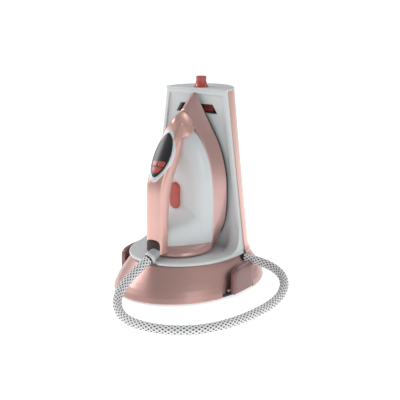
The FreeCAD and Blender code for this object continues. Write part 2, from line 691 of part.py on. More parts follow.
def make_skirt():
    """The mauve heat skirt, hollow, which closes under the heel as well."""
    body = new_body("heat_skirt")
    edge = SOLE_TOP - 0.1
    boat_loft(body, [boat_sketch(body, edge, SOLE_HALF, NOSE - 0.5, HEEL, 46.0),
                     boat_sketch(body, SKIRT_EDGE, SKIRT_HALF, 292.0, HEEL, 50.0)])
    boat_loft(body, [boat_sketch(body, edge + 0.5, SOLE_HALF, NOSE - 0.5, HEEL, 46.0, 3.0),
                     boat_sketch(body, SKIRT_EDGE - 0.5, SKIRT_HALF, 292.0, HEEL, 50.0, 3.0)], subtract=True)


def make_body_shell():
    """The white body shell between skirt and handle, with the well of the steam button."""
    body = new_body("body_shell")
    edge = SKIRT_EDGE - 0.1
    middle = (edge + CROWN) / 2 - 5.0
    blend = [(a[0] * 0.45 + b[0] * 0.55, (a[1] + b[1]) / 2) for a, b in zip(BODY_HALF, CROWN_HALF)]
    base = HEEL + 13.3
    boat_loft(body, [boat_sketch(body, edge, BODY_HALF, 267.0, base, 52.0),
                     boat_sketch(body, middle, blend, 250.0, base, 45.0),
                     boat_sketch(body, CROWN, CROWN_HALF, 236.0, base, 32.0)])
    boat_loft(body, [boat_sketch(body, edge + 1.0, BODY_HALF, 267.0, base, 52.0, 3.5),
                     boat_sketch(body, middle + 2.0, blend, 250.0, base, 45.0, 4.0)], subtract=True)
    well = new_sketch(body, "XZ_Plane", f"{-CROWN}")
    draw_stadium(well, SIZE["steam_button_width"] + 2 * GAP, SIZE["steam_button_length"] + 2 * GAP)
    well.setExpression("AttachmentOffset.Base.y", "154")
    pocket(body, well, "20")


HOSE_START = Vector(0.0, -119.0, 64.5)
COLLAR_PLACE = Vector(4.5, -102.0, 74.5)
HOSE_LEAVE = (HOSE_START - COLLAR_PLACE).normalize()

# The handle seen from the side as (y, z): outer line, middle line and inner line.
HANDLE_OUTER = ((-17.8, 290.5), (-42.0, 277.0), (-59.0, 257.0), (-100.0, 194.0), (-107.0, 176.0),
                (-109.5, 140.0), (-110.5, 70.6))
HANDLE_MIDDLE = ((-17.8, 279.0), (-46.0, 255.0), (-86.0, 193.0), (-94.0, 172.0), (-96.0, 140.0),
                 (-97.0, 70.6))
HANDLE_INNER = ((-17.8, 272.0), (-43.0, 241.5), (-60.0, 216.0), (-74.0, 193.0), (-80.0, 170.0),
                (-82.5, 125.0), (-83.0, 70.6))
DISPLAY_LOW = Vector(0, -100.0, 194.0)
DISPLAY_HIGH = Vector(0, -59.0, 257.0)
DISPLAY_UP = (DISPLAY_HIGH - DISPLAY_LOW).normalize()
DISPLAY_OUT = X_AXIS.cross(DISPLAY_UP)
DISPLAY_MIDDLE = (DISPLAY_HIGH + DISPLAY_LOW) * 0.5
TILT = math.degrees(math.atan2(DISPLAY_UP.z, DISPLAY_UP.y))
DISPLAY_TURN = Rotation(X_AXIS, TILT)


def display_box(sketch_maker, low, high, label):
    """A body in the frame of the display, from one height over it to another."""
    body = new_body(label, tuple(DISPLAY_MIDDLE), DISPLAY_TURN)
    sketch = new_sketch(body, offset=f"{low}")
    sketch_maker(sketch)
    pad(body, sketch, f"{high - low}")
    return body


def make_handle():
    """Upper and lower half of the closed handle, with the well for the controls."""
    half = SIZE["handle_half_width"]
    upper = side_prism(HANDLE_OUTER + HANDLE_MIDDLE[::-1], -half, half)
    lower = side_prism(HANDLE_INNER + HANDLE_MIDDLE[::-1], -half, half)
    outer_edges = [Vector(0, y, z) for y, z in HANDLE_OUTER]
    upper = round_edges(upper, 7.0, lambda edge: follows(edge, outer_edges, half))
    inner_edges = [Vector(0, y, z) for y, z in HANDLE_INNER[:7]]
    lower = round_edges(lower, 6.0, lambda edge: follows(edge, inner_edges, half))
    length, width = SIZE["display_length"], SIZE["display_width"]
    well = doc.addObject("Part::Feature", "ControlWell")
    low, high = Vector(0, -length / 2, 0), Vector(0, length / 2, 0)
    arcs = [Part.Arc(low, Vector(side * width / 2, 0, 0), high).toShape() for side in (-1, 1)]
    well.Shape = Part.Face(Part.Wire(arcs)).extrude(Vector(0, 0, 20.0))
    well.Placement = Placement(DISPLAY_MIDDLE - DISPLAY_OUT * 9.0, DISPLAY_TURN)
    cap = box((-11.0, -112.0, 70.0), (11.0, -102.0, 94.0))
    finish(cut(upper, well, cap, collar_hole()), "handle_upper")
    finish(lower, "handle_lower")


def follows(edge, line, half):
    """Whether an edge lies on a corner line of the handle's side."""
    if edge.BoundBox.XLength > 0.1 or abs(abs(edge.CenterOfMass.x) - half) > 0.1:
        return False
    middle = edge.CenterOfMass
    for start, end in zip(line, line[1:]):
        centre = (start + end) * 0.5
        if math.hypot(middle.y - centre.y, middle.z - centre.z) < 0.1:
            return True
    return False


BUTTONS = {"button_minus": (-4.7, -15.5), "button_plus": (4.7, -15.5), "button_power": (0.0, -25.5)}
BUTTON_SIZE = {"button_minus": (8.2, 7.0), "button_plus": (8.2, 7.0), "button_power": (8.2, 6.6)}


def make_display():
    """Bezel, lens, screen, three keys, the board behind them and its switches."""
    length, width, rim = SIZE["display_length"], SIZE["display_width"], SIZE["bezel_width"]
    long, wide = length + 3.2 * rim, width + 2 * rim
    bezel = display_box(lambda s: draw_almond(s, long, wide), 0.05, 2.4, "display_bezel")
    hole = new_sketch(bezel)
    draw_almond(hole, length, width)
    pocket(bezel, hole, "", through=True)

    lens = display_box(lambda s: draw_almond(s, length - 0.4, width - 0.4), 0.0, 1.8, "display_lens")
    keys = new_sketch(lens, offset="0")
    for name, place in BUTTONS.items():
        wide, high = BUTTON_SIZE[name]
        draw_rectangle(keys, f"{wide + 2 * GAP}", f"{high + 2 * GAP}", place)
    pocket(lens, keys, "", through=True)
    display_box(lambda s: draw_rectangle(s, "17", "24", (0.0, 4.0)), -4.0, -0.1, "display_screen")

    for name, place in BUTTONS.items():
        wide, high = BUTTON_SIZE[name]
        display_box(lambda s: draw_rectangle(s, f"{wide}", f"{high}", place), -3.0, 2.6, name)
    display_box(lambda s: draw_rectangle(s, "12", "50", (0.0, -3.0)), -8.8, -7.4, "handle_board")
    switches = []
    for x, y in BUTTONS.values():
        switch = primitive("Cylinder", (0, 0, 0), None, Radius=1.8, Height=3.0)
        place = DISPLAY_MIDDLE + X_AXIS * (0.7 * x) + DISPLAY_UP * y - DISPLAY_OUT * 7.4
        switch.Placement = Placement(place, DISPLAY_TURN)
        switches.append(switch)
    finish(group(*switches), "key_switches")


def make_steam_controls():
    """The steam button in the body shell, its switch and the steam valve."""
    front = CROWN - 3.6
    button = new_body("steam_button", (0, front, 154.0), along((0, 1, 0)))
    sketch = new_sketch(button)
    draw_stadium(sketch, SIZE["steam_button_width"], SIZE["steam_button_length"])
    pad(button, sketch, "8")
    finish(box((-4.0, front + 11.2, 150.0), (4.0, front + 16.0, 158.0)), "steam_switch")
    finish(rod((0, -19.0, 100.0), (0, 0, 1), 9.0, 26.0), "steam_valve")
    finish(rod((0, -4.0, 180.0), (0, 1, 0), 9.0, 3.4), "thermostat")
    pipe = cut(rod((0, -24.0, 80.5), (0, 0, 1), 3.5, 19.4), rod((0, -24.0, 80.0), (0, 0, 1), 2.2, 30.0))
    finish(pipe, "iron_steam_tube")


def collar_hole():
    """The hole that the hose collar sits in."""
    return rod(tuple(COLLAR_PLACE - HOSE_LEAVE * 1.0), HOSE_LEAVE, 9.0, 40.0)


# The hose ends in half a ball that turns in the mouth of the collar, so the collar stops short of it.
BALL_RADIUS = 5.5
BALL_GAP = 4.2
HEEL_SCREWS = ((-28.0, -42.0), (28.0, -42.0))


def make_heel():
    """The mauve foot plate that the iron stands on and the white saddle between it and the handle."""
    outline = ((-50.0, -18.2), (50.0, -18.2), (49.0, -38.0), (42.0, -60.0), (30.0, -76.0), (14.0, -87.0),
               (-14.0, -87.0), (-30.0, -76.0), (-42.0, -60.0), (-49.0, -38.0))
    slope = side_prism(((-18.2, HEEL), (-18.2, HEEL + 13.0), (-87.0, HEEL + 6.6), (-87.0, HEEL)), -52.0, 52.0)
    plan = doc.addObject("Part::Feature", "HeelPlan")
    corners = [Vector(x, y, HEEL) for x, y in outline + outline[:1]]
    plan.Shape = Part.Face(Part.makePolygon(corners)).extrude(Vector(0, 0, 20.0))
    holes = [rod((x, y, HEEL - 1.0), (0, 0, 1), 3.1, 20.0) for x, y in HEEL_SCREWS]
    finish(cut(common(plan, slope), *holes), "heel_plate")
    saddle = ((-43.0, 128.0), (-46.5, 108.0), (-56.0, 92.0), (-68.0, 84.0), (-82.6, 80.0), (-82.6, 70.6),
              (-43.0, 74.4))
    finish(side_prism(saddle, -24.0, 24.0), "rear_saddle")


def make_hose_end():
    """The dark heel cap, the grey collar with its ring, and the ball that the hose ends in."""
    cap = round_edges(box((-11.0, -113.0, 72.0), (11.0, -102.1, 94.0)), 2.5,
                      lambda edge: abs(edge.CenterOfMass.y + 113.0) < 6.0 and edge.BoundBox.YLength > 1.0)
    finish(cut(cap, collar_hole()), "heel_cap")
    leave = HOSE_START - COLLAR_PLACE
    length = leave.Length
    end = length - BALL_GAP
    socket = BALL_RADIUS + GAP
    turned("hose_collar", ((3.0, 0.0), (8.6, 0.0), (8.6, end), (math.sqrt(socket ** 2 - BALL_GAP ** 2), end),
                           (3.0, length - math.sqrt(socket ** 2 - 9.0))),
           tuple(COLLAR_PLACE), Rotation(Z_AXIS, leave))
    turned("collar_ring", ((8.65, 0.0), (10.0, 0.0), (10.0, 3.0), (8.65, 3.0)),
           tuple(COLLAR_PLACE + leave * 0.64), Rotation(Z_AXIS, leave))
    back = Rotation(Z_AXIS, -leave)
    finish(primitive("Sphere", tuple(HOSE_START), back, Radius=BALL_RADIUS, Angle1=0, Angle2=90), "hose_ball")
    heads = [rod((x, y, HEEL + 0.4), (0, 0, 1), 3.0, 3.0) for x, y in HEEL_SCREWS]
    finish(group(*heads), "heel_screws")


# The free hose from the heel of the iron over the floor and back to the neck of the stand.
FLOOR = SIZE["hose_radius"] + 0.1
HOSE_ROUTE = (
    tuple(HOSE_START), (-4.5, -136.0, 54.5), (-8.0, -154.0, 44.5), (-8.5, -170.5, 36.0),
    (-5.5, -187.0, 28.0), (2.0, -202.0, 20.0), (14.0, -214.5, 13.5), (30.0, -225.0, 9.0),
    (50.0, -233.0, FLOOR), (74.0, -237.5, FLOOR),
    (100.0, -236.0, FLOOR), (126.0, -227.0, FLOOR), (149.0, -210.0, FLOOR), (166.0, -185.0, FLOOR),
    (177.0, -155.0, FLOOR), (183.0, -122.0, FLOOR), (186.0, -92.0, FLOOR), (188.0, -66.0, 8.5),
    (188.5, -41.0, 11.5), (185.5, -17.0, 16.5), (177.0, 6.0, 24.0), (161.0, 23.0, 32.0), (138.5, 32.0, 38.5),
    (113.5, 32.5, 43.5), (92.0, 25.6, PORT_HEIGHT), tuple(PORT_END),
)


def make_hose():
    """The plain tube of the steam hose."""
    tube_along("steam_hose", HOSE_ROUTE, SIZE["hose_radius"])


# ---------------------------------------------------------------- build and export

make_base_plate()
make_feet_and_screws()
make_drum()
make_seal()
make_base_inside()
make_front_shell()
make_rear_shell()
make_top_cap()
make_lock()
make_tank()
make_heel_rest()
for latch_side, latch_name in ((-1, "left"), (1, "right")):
    make_side_latch(latch_side, latch_name)
make_soleplate()
make_skirt()
make_body_shell()
make_handle()
make_display()
make_steam_controls()
make_heel()
make_hose_end()
make_hose()

doc.recompute()
for item in doc.Objects:
    if "Invalid" in item.State or "Error" in item.State:
        raise RuntimeError(f"{item.Label} failed: {item.State}")
for label, item in nodes.items():
    if item.Shape.isNull() or not item.Shape.isValid():
        raise RuntimeError(f"{label} has no valid shape")
os.makedirs("parts", exist_ok=True)
for label, item in nodes.items():
    item.Shape.exportStep(f"parts/{label}.step")
    spot = item.Shape.optimalBoundingBox(False)
    print(f"{label:18s} {len(item.Shape.Solids)} solid(s) {item.Shape.Volume / 1000:8.1f} cm3 "
          f"x {spot.XMin:.1f}..{spot.XMax:.1f} y {spot.YMin:.1f}..{spot.YMax:.1f} "
          f"z {spot.ZMin:.1f}..{spot.ZMax:.1f}")
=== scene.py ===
import json
import math

import bmesh
import bpy
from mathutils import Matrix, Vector


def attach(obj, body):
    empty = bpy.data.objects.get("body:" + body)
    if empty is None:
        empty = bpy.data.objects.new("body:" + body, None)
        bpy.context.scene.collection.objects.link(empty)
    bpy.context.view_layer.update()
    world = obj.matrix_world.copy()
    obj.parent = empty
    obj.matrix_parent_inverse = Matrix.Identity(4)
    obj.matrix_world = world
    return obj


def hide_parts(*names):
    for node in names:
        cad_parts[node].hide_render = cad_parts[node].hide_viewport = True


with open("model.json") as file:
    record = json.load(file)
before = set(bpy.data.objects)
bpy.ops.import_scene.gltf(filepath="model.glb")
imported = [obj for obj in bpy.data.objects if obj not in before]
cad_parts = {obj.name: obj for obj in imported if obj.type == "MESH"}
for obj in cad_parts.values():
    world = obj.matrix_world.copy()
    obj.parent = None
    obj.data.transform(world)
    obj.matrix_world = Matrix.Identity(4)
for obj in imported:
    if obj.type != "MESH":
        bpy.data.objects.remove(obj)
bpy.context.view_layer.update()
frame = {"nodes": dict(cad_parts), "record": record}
MM = 0.001
MIX_FIRST, MIX_SECOND, MIX_RESULT = 6, 7, 2  # the colour sockets of a Mix node


# ---------------------------------------------------------------- materials

class Shader:
    """A node material built from a few short calls."""

    def __init__(self, name, colour, roughness, metallic=0.0, coat=0.0):
        self.material = bpy.data.materials.new(name)
        self.material.use_nodes = True
        self.tree = self.material.node_tree
        self.main = self.tree.nodes["Principled BSDF"]
        self.main.inputs["Base Color"].default_value = (*colour, 1.0)
        self.main.inputs["Roughness"].default_value = roughness
        self.main.inputs["Metallic"].default_value = metallic
        self.main.inputs["Coat Weight"].default_value = coat
        self.main.inputs["Coat Roughness"].default_value = 0.08

    def add(self, kind, **values):
        """A node whose inputs or settings are given by name."""
        node = self.tree.nodes.new(kind)
        for name, value in values.items():
            label = name.replace("_", " ")
            if label in node.inputs:
                node.inputs[label].default_value = value
            else:
                setattr(node, name, value)
        return node

    def link(self, source, target):
        self.tree.links.new(source, target)

    def noise(self, scale, detail=3.0):
        """Noise fixed to the piece's own coordinates."""
        place = self.add("ShaderNodeTexCoord")
        noise = self.add("ShaderNodeTexNoise", Scale=scale, Detail=detail)
        self.link(place.outputs["Object"], noise.inputs["Vector"])
        return noise.outputs["Fac"]

    def remap(self, value, low, high):
        """Stretch a 0 to 1 value to another range."""
        node = self.add("ShaderNodeMapRange", To_Min=low, To_Max=high)
        self.link(value, node.inputs["Value"])
        return node.outputs["Result"]

    def vary_roughness(self, scale, low, high):
        self.link(self.remap(self.noise(scale), low, high), self.main.inputs["Roughness"])

    def vary_colour(self, scale, first, second):
        mix = self.add("ShaderNodeMix", data_type="RGBA")
        mix.inputs[MIX_FIRST].default_value = (*first, 1.0)
        mix.inputs[MIX_SECOND].default_value = (*second, 1.0)
        self.link(self.noise(scale), mix.inputs["Factor"])
        self.link(mix.outputs[MIX_RESULT], self.main.inputs["Base Color"])

    def grain(self, scale, depth, strength=0.3):
        bump = self.add("ShaderNodeBump", Strength=strength, Distance=depth)
        self.link(self.noise(scale, 4.0), bump.inputs["Height"])
        self.link(bump.outputs["Normal"], self.main.inputs["Normal"])


def moulded(name, colour, roughness, coat=0.0, shift=0.94, grain=0.00002):
    """Moulded plastic: slight colour drift, uneven gloss and a fine skin."""
    shader = Shader(name, colour, roughness, coat=coat)
    shader.vary_colour(9.0, colour, tuple(part * shift for part in colour))
    shader.vary_roughness(60.0, roughness * 0.85, roughness * 1.2)
    shader.grain(1500.0, grain)
    return shader.material


def lacquer(name, colour, roughness, metallic):
    """Metallic lacquer: bright flakes under a clear coat."""
    shader = Shader(name, colour, roughness, metallic=metallic, coat=0.35)
    dark = tuple(part * 0.9 for part in colour)
    bright = tuple(min(part * 1.08, 1.0) for part in colour)
    shader.vary_colour(2600.0, dark, bright)
    shader.vary_roughness(35.0, roughness * 0.9, roughness * 1.15)
    shader.grain(2200.0, 0.00001, 0.15)
    return shader.material


def metal(name, colour, roughness, grain=0.00003):
    """Bare metal with a brushed or cast skin."""
    shader = Shader(name, colour, roughness, metallic=1.0)
    shader.vary_roughness(90.0, roughness * 0.7, roughness * 1.3)
    shader.grain(700.0, grain)
    return shader.material


def clear_tank(name):
    """Translucent bluish tank plastic."""
    shader = Shader(name, (0.75, 0.86, 0.92), 0.2)
    shader.main.inputs["Transmission Weight"].default_value = 0.8
    shader.vary_roughness(40.0, 0.12, 0.28)
    return shader.material


BRAID_AROUND = 8.0
BRAID_PITCH = 0.0082
BRAID_DOT = 0.25
BRAID_WHITE = (0.90, 0.91, 0.92)
BRAID_BLACK = (0.02, 0.02, 0.028)


def braid(name):
    """White braided sleeve with dark flecks in slanting rows.

    The piece's UV map gives u in metres along the hose and v in turns round it.
    """
    shader = Shader(name, (0.85, 0.85, 0.84), 0.75)
    place = shader.add("ShaderNodeTexCoord")
    split = shader.add("ShaderNodeSeparateXYZ")
    shader.link(place.outputs["UV"], split.inputs["Vector"])

    def sum_of(first, second, operation="ADD"):
        node = shader.add("ShaderNodeMath", operation=operation)
        for index, value in enumerate((first, second)):
            if isinstance(value, float):
                node.inputs[index].default_value = value
            else:
                shader.link(value, node.inputs[index])
        return node.outputs["Value"]

    along = sum_of(split.outputs["X"], 1.0 / BRAID_PITCH, "MULTIPLY")
    around = sum_of(split.outputs["Y"], BRAID_AROUND, "MULTIPLY")
    rising, falling = sum_of(along, around), sum_of(along, around, "SUBTRACT")
    waves = []
    for strand in (rising, falling):
        wave = sum_of(sum_of(strand, math.pi, "MULTIPLY"), 0.0, "SINE")
        waves.append(sum_of(wave, 0.0, "ABSOLUTE"))
    height = sum_of(waves[0], waves[1], "MULTIPLY")
    dot_rows = sum_of(sum_of(sum_of(rising, 0.0, "FRACT"), 0.5, "SUBTRACT"), 0.0, "ABSOLUTE")
    dot_lines = sum_of(sum_of(sum_of(falling, 0.0, "FRACT"), 0.5, "SUBTRACT"), 0.0, "ABSOLUTE")
    inside = sum_of(sum_of(dot_rows, dot_lines, "MAXIMUM"), BRAID_DOT, "LESS_THAN")
    mix = shader.add("ShaderNodeMix", data_type="RGBA")
    mix.inputs[MIX_FIRST].default_value = (*BRAID_WHITE, 1.0)
    mix.inputs[MIX_SECOND].default_value = (*BRAID_BLACK, 1.0)
    shader.link(inside, mix.inputs["Factor"])
    shader.link(mix.outputs[MIX_RESULT], shader.main.inputs["Base Color"])
    bump = shader.add("ShaderNodeBump", Strength=0.9, Distance=0.0006)
    shader.link(height, bump.inputs["Height"])
    shader.link(bump.outputs["Normal"], shader.main.inputs["Normal"])
    return shader.material


MATERIALS = {
    "white_plastic": moulded("white_plastic", (0.70, 0.735, 0.75), 0.36, coat=0.2, shift=0.97),
    "rose_plastic": lacquer("rose_plastic", (0.76, 0.465, 0.415), 0.38, 0.75),
    "mauve_lacquer": lacquer("mauve_lacquer", (0.66, 0.42, 0.395), 0.36, 0.8),
    "coral_plastic": moulded("coral_plastic", (0.50, 0.075, 0.055), 0.35, coat=0.4),
    "black_gloss": moulded("black_gloss", (0.012, 0.014, 0.017), 0.34, coat=0.1),
    "dark_maroon": moulded("dark_maroon", (0.026, 0.006, 0.006), 0.45),
    "dark_plastic": moulded("dark_plastic", (0.035, 0.035, 0.038), 0.5),
    "grey_plastic": moulded("grey_plastic", (0.42, 0.44, 0.46), 0.42),
    "black_rubber": moulded("black_rubber", (0.02, 0.02, 0.02), 0.8, grain=0.0001),
    "steel": metal("steel", (0.62, 0.62, 0.62), 0.3),
    "sole_metal": metal("sole_metal", (0.16, 0.14, 0.14), 0.35),
    "cast_alloy": metal("cast_alloy", (0.55, 0.55, 0.56), 0.55, 0.0002),
    "brass": metal("brass", (0.75, 0.55, 0.25), 0.3),
    "tank_plastic": clear_tank("tank_plastic"),
    "circuit_board": moulded("circuit_board", (0.02, 0.13, 0.06), 0.45),
    "braid": braid("braid"),
}
SLOT_OF = {entry["node"]: entry["material_slot"] for entry in frame["record"]["subparts"]}

for node, thing in frame["nodes"].items():
    thing.data.materials.clear()
    thing.data.materials.append(MATERIALS[SLOT_OF[node]])
frame["nodes"]["lock_hook"].data.materials[0] = moulded("hook_red", (0.26, 0.035, 0.035), 0.4)


# ---------------------------------------------------------------- camera and hose

CAMERA_PLACE = Vector((0.868, -1.296, 0.501))
CAMERA_AIM = Vector((0.0139, 0.0091, 0.1378))
camera_data = bpy.data.cameras.new("camera")
camera_data.lens = 87.2
camera_data.sensor_width = 36.0
camera = bpy.data.objects.new("camera", camera_data)
camera.location = CAMERA_PLACE
camera.rotation_euler = (CAMERA_AIM - CAMERA_PLACE).to_track_quat("-Z", "Y").to_euler()
bpy.context.collection.objects.link(camera)
bpy.context.scene.camera = camera

HOSE_RADIUS = 0.00725
HOSE_FLOOR = HOSE_RADIUS + 0.0001
HOSE_ROUTE = (
    (0.0, -0.119, 0.0645), (-0.0045, -0.136, 0.0545), (-0.008, -0.154, 0.0445), (-0.0085, -0.1705, 0.036),
    (-0.0055, -0.187, 0.028), (0.002, -0.202, 0.020), (0.014, -0.2145, 0.0135), (0.030, -0.225, 0.009),
    (0.050, -0.233, HOSE_FLOOR), (0.074, -0.2375, HOSE_FLOOR), (0.100, -0.236, HOSE_FLOOR),
    (0.126, -0.227, HOSE_FLOOR), (0.149, -0.210, HOSE_FLOOR), (0.166, -0.185, HOSE_FLOOR),
    (0.177, -0.155, HOSE_FLOOR), (0.183, -0.122, HOSE_FLOOR), (0.186, -0.092, HOSE_FLOOR),
    (0.188, -0.066, 0.0085), (0.1885, -0.041, 0.0115), (0.1855, -0.017, 0.0165), (0.177, 0.006, 0.024),
    (0.161, 0.023, 0.032), (0.1385, 0.032, 0.0385), (0.1135, 0.0325, 0.0435), (0.092, 0.0256, 0.047),
    (0.0722, 0.0159, 0.047),
)


def hose_line():
    """Points along the route's own smooth line."""
    curve = bpy.data.curves.new("hose_route", "CURVE")
    curve.dimensions = "3D"
    spline = curve.splines.new("NURBS")
    spline.points.add(len(HOSE_ROUTE) - 1)
    for point, place in zip(spline.points, HOSE_ROUTE):
        point.co = (*place, 1.0)
    spline.order_u = 3
    spline.use_endpoint_u = True
    spline.resolution_u = 16
    holder = bpy.data.objects.new("hose_route", curve)
    line = bpy.data.meshes.new_from_object(holder)
    points = [vertex.co.copy() for vertex in line.vertices]
    bpy.data.objects.remove(holder)
    bpy.data.curves.remove(curve)
    bpy.data.meshes.remove(line)
    return points


def make_hose():
    """The braided steam hose along its route, with a UV map in metres along it and turns round it."""
    line = hose_line()
    count = 40
    places, faces, runs = [], [], [0.0]
    side = Vector((1.0, 0.0, 0.0))
    for index, point in enumerate(line):
        ahead = (line[min(index + 1, len(line) - 1)] - line[max(index - 1, 0)]).normalized()
        side = (side - ahead * side.dot(ahead)).normalized()
        above = ahead.cross(side)
        for step in range(count):
            angle = math.tau * step / count
            places.append(point + (side * math.cos(angle) + above * math.sin(angle)) * HOSE_RADIUS)
        if index:
            runs.append(runs[-1] + (point - line[index - 1]).length)
    for row in range(len(line) - 1):
        for step in range(count):
            here, beside = row * count + step, row * count + (step + 1) % count
            faces.append((here, beside, beside + count, here + count))
    faces += [tuple(range(count)), tuple(range(len(places) - count, len(places)))]
    mesh = bpy.data.meshes.new("steam_hose_braid")
    mesh.from_pydata(places, [], faces)
    layer = mesh.uv_layers.new(name="along")
    for face in mesh.polygons[:-2]:
        row, step = divmod(face.vertices[0], count)
        corners = ((row, step), (row, step + 1), (row + 1, step + 1), (row + 1, step))
        for loop, (far, turn) in zip(face.loop_indices, corners):
            layer.data[loop].uv = (runs[far], turn / count)
    mesh.shade_smooth()
    mesh.materials.append(MATERIALS["braid"])
    hose = bpy.data.objects.new("steam_hose_braid", mesh)
    bpy.context.collection.objects.link(hose)
    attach(hose, "stand")
    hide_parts("steam_hose")


make_hose()


# ---------------------------------------------------------------- mesh helpers

def make_piece(name, shape, body, slot, nodes=(), sharp=38.0, finish=None):
    """One mesh piece from points in millimetres, on its body, in place of the CAD nodes named."""
    points, faces = shape
    mesh = bpy.data.meshes.new(name)
    mesh.from_pydata([tuple(value * MM for value in point) for point in points], [], faces)
    work = bmesh.new()
    work.from_mesh(mesh)
    bmesh.ops.remove_doubles(work, verts=work.verts, dist=0.000002)
    bmesh.ops.recalc_face_normals(work, faces=work.faces)
    work.to_mesh(mesh)
    work.free()
    mesh.materials.append(finish or MATERIALS[slot])
    mesh.shade_smooth()
    mesh.set_sharp_from_angle(angle=math.radians(sharp))
    thing = bpy.data.objects.new(name, mesh)
    bpy.context.collection.objects.link(thing)
    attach(thing, body)
    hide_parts(*nodes)


def skin(loops, first=True, last=True, closed=True):
    """The points and faces of a skin over loops with equal counts, with or without its two ends."""
    points = [tuple(point) for loop in loops for point in loop]
    count = len(loops[0])
    faces = []
    for row in range(len(loops) - 1):
        for step in range(count if closed else count - 1):
            here, beside = row * count + step, row * count + (step + 1) % count
            faces.append((here, beside, beside + count, here + count))
    if first:
        faces.append(tuple(range(count)))
    if last:
        faces.append(tuple(range(len(points) - count, len(points))))
    return points, faces


def mixed(low, high, share):
    """A number part way between two others."""
    return low + (high - low) * share


def eased(value, start, stop):
    """0 before start, 1 after stop, and smooth between."""
    share = min(max((value - start) / (stop - start), 0.0), 1.0)
    return share * share * (3.0 - 2.0 * share)


def read_line(table, value):
    """The value of a piecewise line given as (place, value) pairs."""
    for (place, first), (beyond, second) in zip(table, table[1:]):
        if value <= beyond:
            return mixed(first, second, max(value - place, 0.0) / (beyond - place))
    return table[-1][1]


def spline_point(before, start, stop, after, share):
    """A point on the smooth line from start to stop."""
    square, cube = share ** 2, share ** 3
    return 0.5 * (2.0 * start + (stop - before) * share
                  + (2.0 * before - 5.0 * start + 4.0 * stop - after) * square
                  + (3.0 * start - before - 3.0 * stop + after) * cube)


def smooth_line(knots, count, closed=False):
    """Evenly spaced points of a smooth line through the knots."""
    knots = [Vector((*knot, 0.0)[:3]) for knot in knots]
    total = len(knots)
    if closed:
        around = [knots[-1], *knots, knots[0], knots[1]]
    else:
        around = [2.0 * knots[0] - knots[1], *knots, 2.0 * knots[-1] - knots[-2]]
    dense = []
    for span in range(total if closed else total - 1):
        dense += [spline_point(*around[span:span + 4], step / 20.0) for step in range(20)]
    dense.append(knots[0] if closed else knots[-1])
    run = [0.0]
    for start, stop in zip(dense, dense[1:]):
        run.append(run[-1] + (stop - start).length)
    line, spot = [], 0
    for step in range(count):
        want = run[-1] * step / (count if closed else count - 1)
        while spot < len(dense) - 2 and run[spot + 1] < want:
            spot += 1
        share = (want - run[spot]) / max(run[spot + 1] - run[spot], 1e-9)
        line.append(dense[spot].lerp(dense[spot + 1], min(share, 1.0)))
    return line


def boat(half, nose, heel, heel_half, level, inset=0.0, count=96):
    """A boat outline on a plane of constant y: rounded nose, curved sides and heel with round corners."""
    side = [*half, (heel_half, heel + 10.0), (heel_half - 2.5, heel + 3.0), (heel_half - 9.0, heel)]
    loop = [(0.0, nose), *side, (0.0, heel), *((-x, z) for x, z in reversed(side))]
    middle_z = 0.5 * (nose + heel)
    points = []
    for point in smooth_line(loop, count, closed=True):
        toward = Vector((point.x, (point.y - middle_z) * 0.45, 0.0)).normalized()
        points.append((point.x - toward.x * inset, level, point.y - toward.y * inset))
    return points


def blended(first, second, share, level):
    """The loop part way between two loops, on a plane of constant y."""
    return [(mixed(a[0], b[0], share), level, mixed(a[2], b[2], share)) for a, b in zip(first, second)]


def lathe(profile, place=(0.0, 0.0, 0.0), axis=(0.0, 0.0, 1.0), count=64, ends=(True, True)):
    """A turned shape from (radius, height) pairs, standing on a place and along an axis."""
    turn = Vector((0.0, 0.0, 1.0)).rotation_difference(Vector(axis)).to_matrix()
    loops = []
    for radius, height in profile:
        loop = []
        for step in range(count):
            angle = math.tau * step / count
            spot = Vector((radius * math.cos(angle), radius * math.sin(angle), height))
            loop.append(Vector(place) + turn @ spot)
        loops.append(loop)
    return skin(loops, *ends)


def rounded(half_x, half_y, power, count=40):
    """A rounded rectangle as (x, y) pairs; a higher power is squarer."""
    loop = []
    for step in range(count):
        angle = math.tau * step / count
        wide, high = math.cos(angle), math.sin(angle)
        loop.append((half_x * math.copysign(abs(wide) ** (2.0 / power), wide),
                     half_y * math.copysign(abs(high) ** (2.0 / power), high)))
    return loop


def pillow(outline, lift, thick, edge, place=(0.0, 0.0, 0.0), up=(0.0, 0.0, 1.0), out=(0.0, -1.0, 0.0),
           bend=0.0, reach=None):
    """A raised pad over an outline of (across, up) pairs, with a rounded rim.

    Bend wraps it back by that much at the distance reach from its middle line.
    """
    upward, outward = Vector(up), Vector(out)
    across = upward.cross(outward)
    if across.x < 0:
        across = -across
    reach = reach or max(abs(x) for x, y in outline)
    middle_x = sum(x for x, y in outline) / len(outline)
    middle_y = sum(y for x, y in outline) / len(outline)
    steps = ((1.0, -thick), (1.0, 0.0), (1.0 - 0.3 * edge, 0.6 * lift), (1.0 - edge, 0.9 * lift),
             (1.0 - 2.0 * edge, lift), (0.7, lift), (0.5, lift), (0.3, lift), (0.1, lift), (0.02, lift))
    loops = []
    for share, high in steps:
        loop = []
        for x, y in outline:
            wide, tall = mixed(middle_x, x, share), mixed(middle_y, y, share)
            back = bend * (wide / reach) ** 2
            loop.append(Vector(place) + across * wide + upward * tall + outward * (high - back))
        loops.append(loop)
    return skin(loops)


# ---------------------------------------------------------------- base

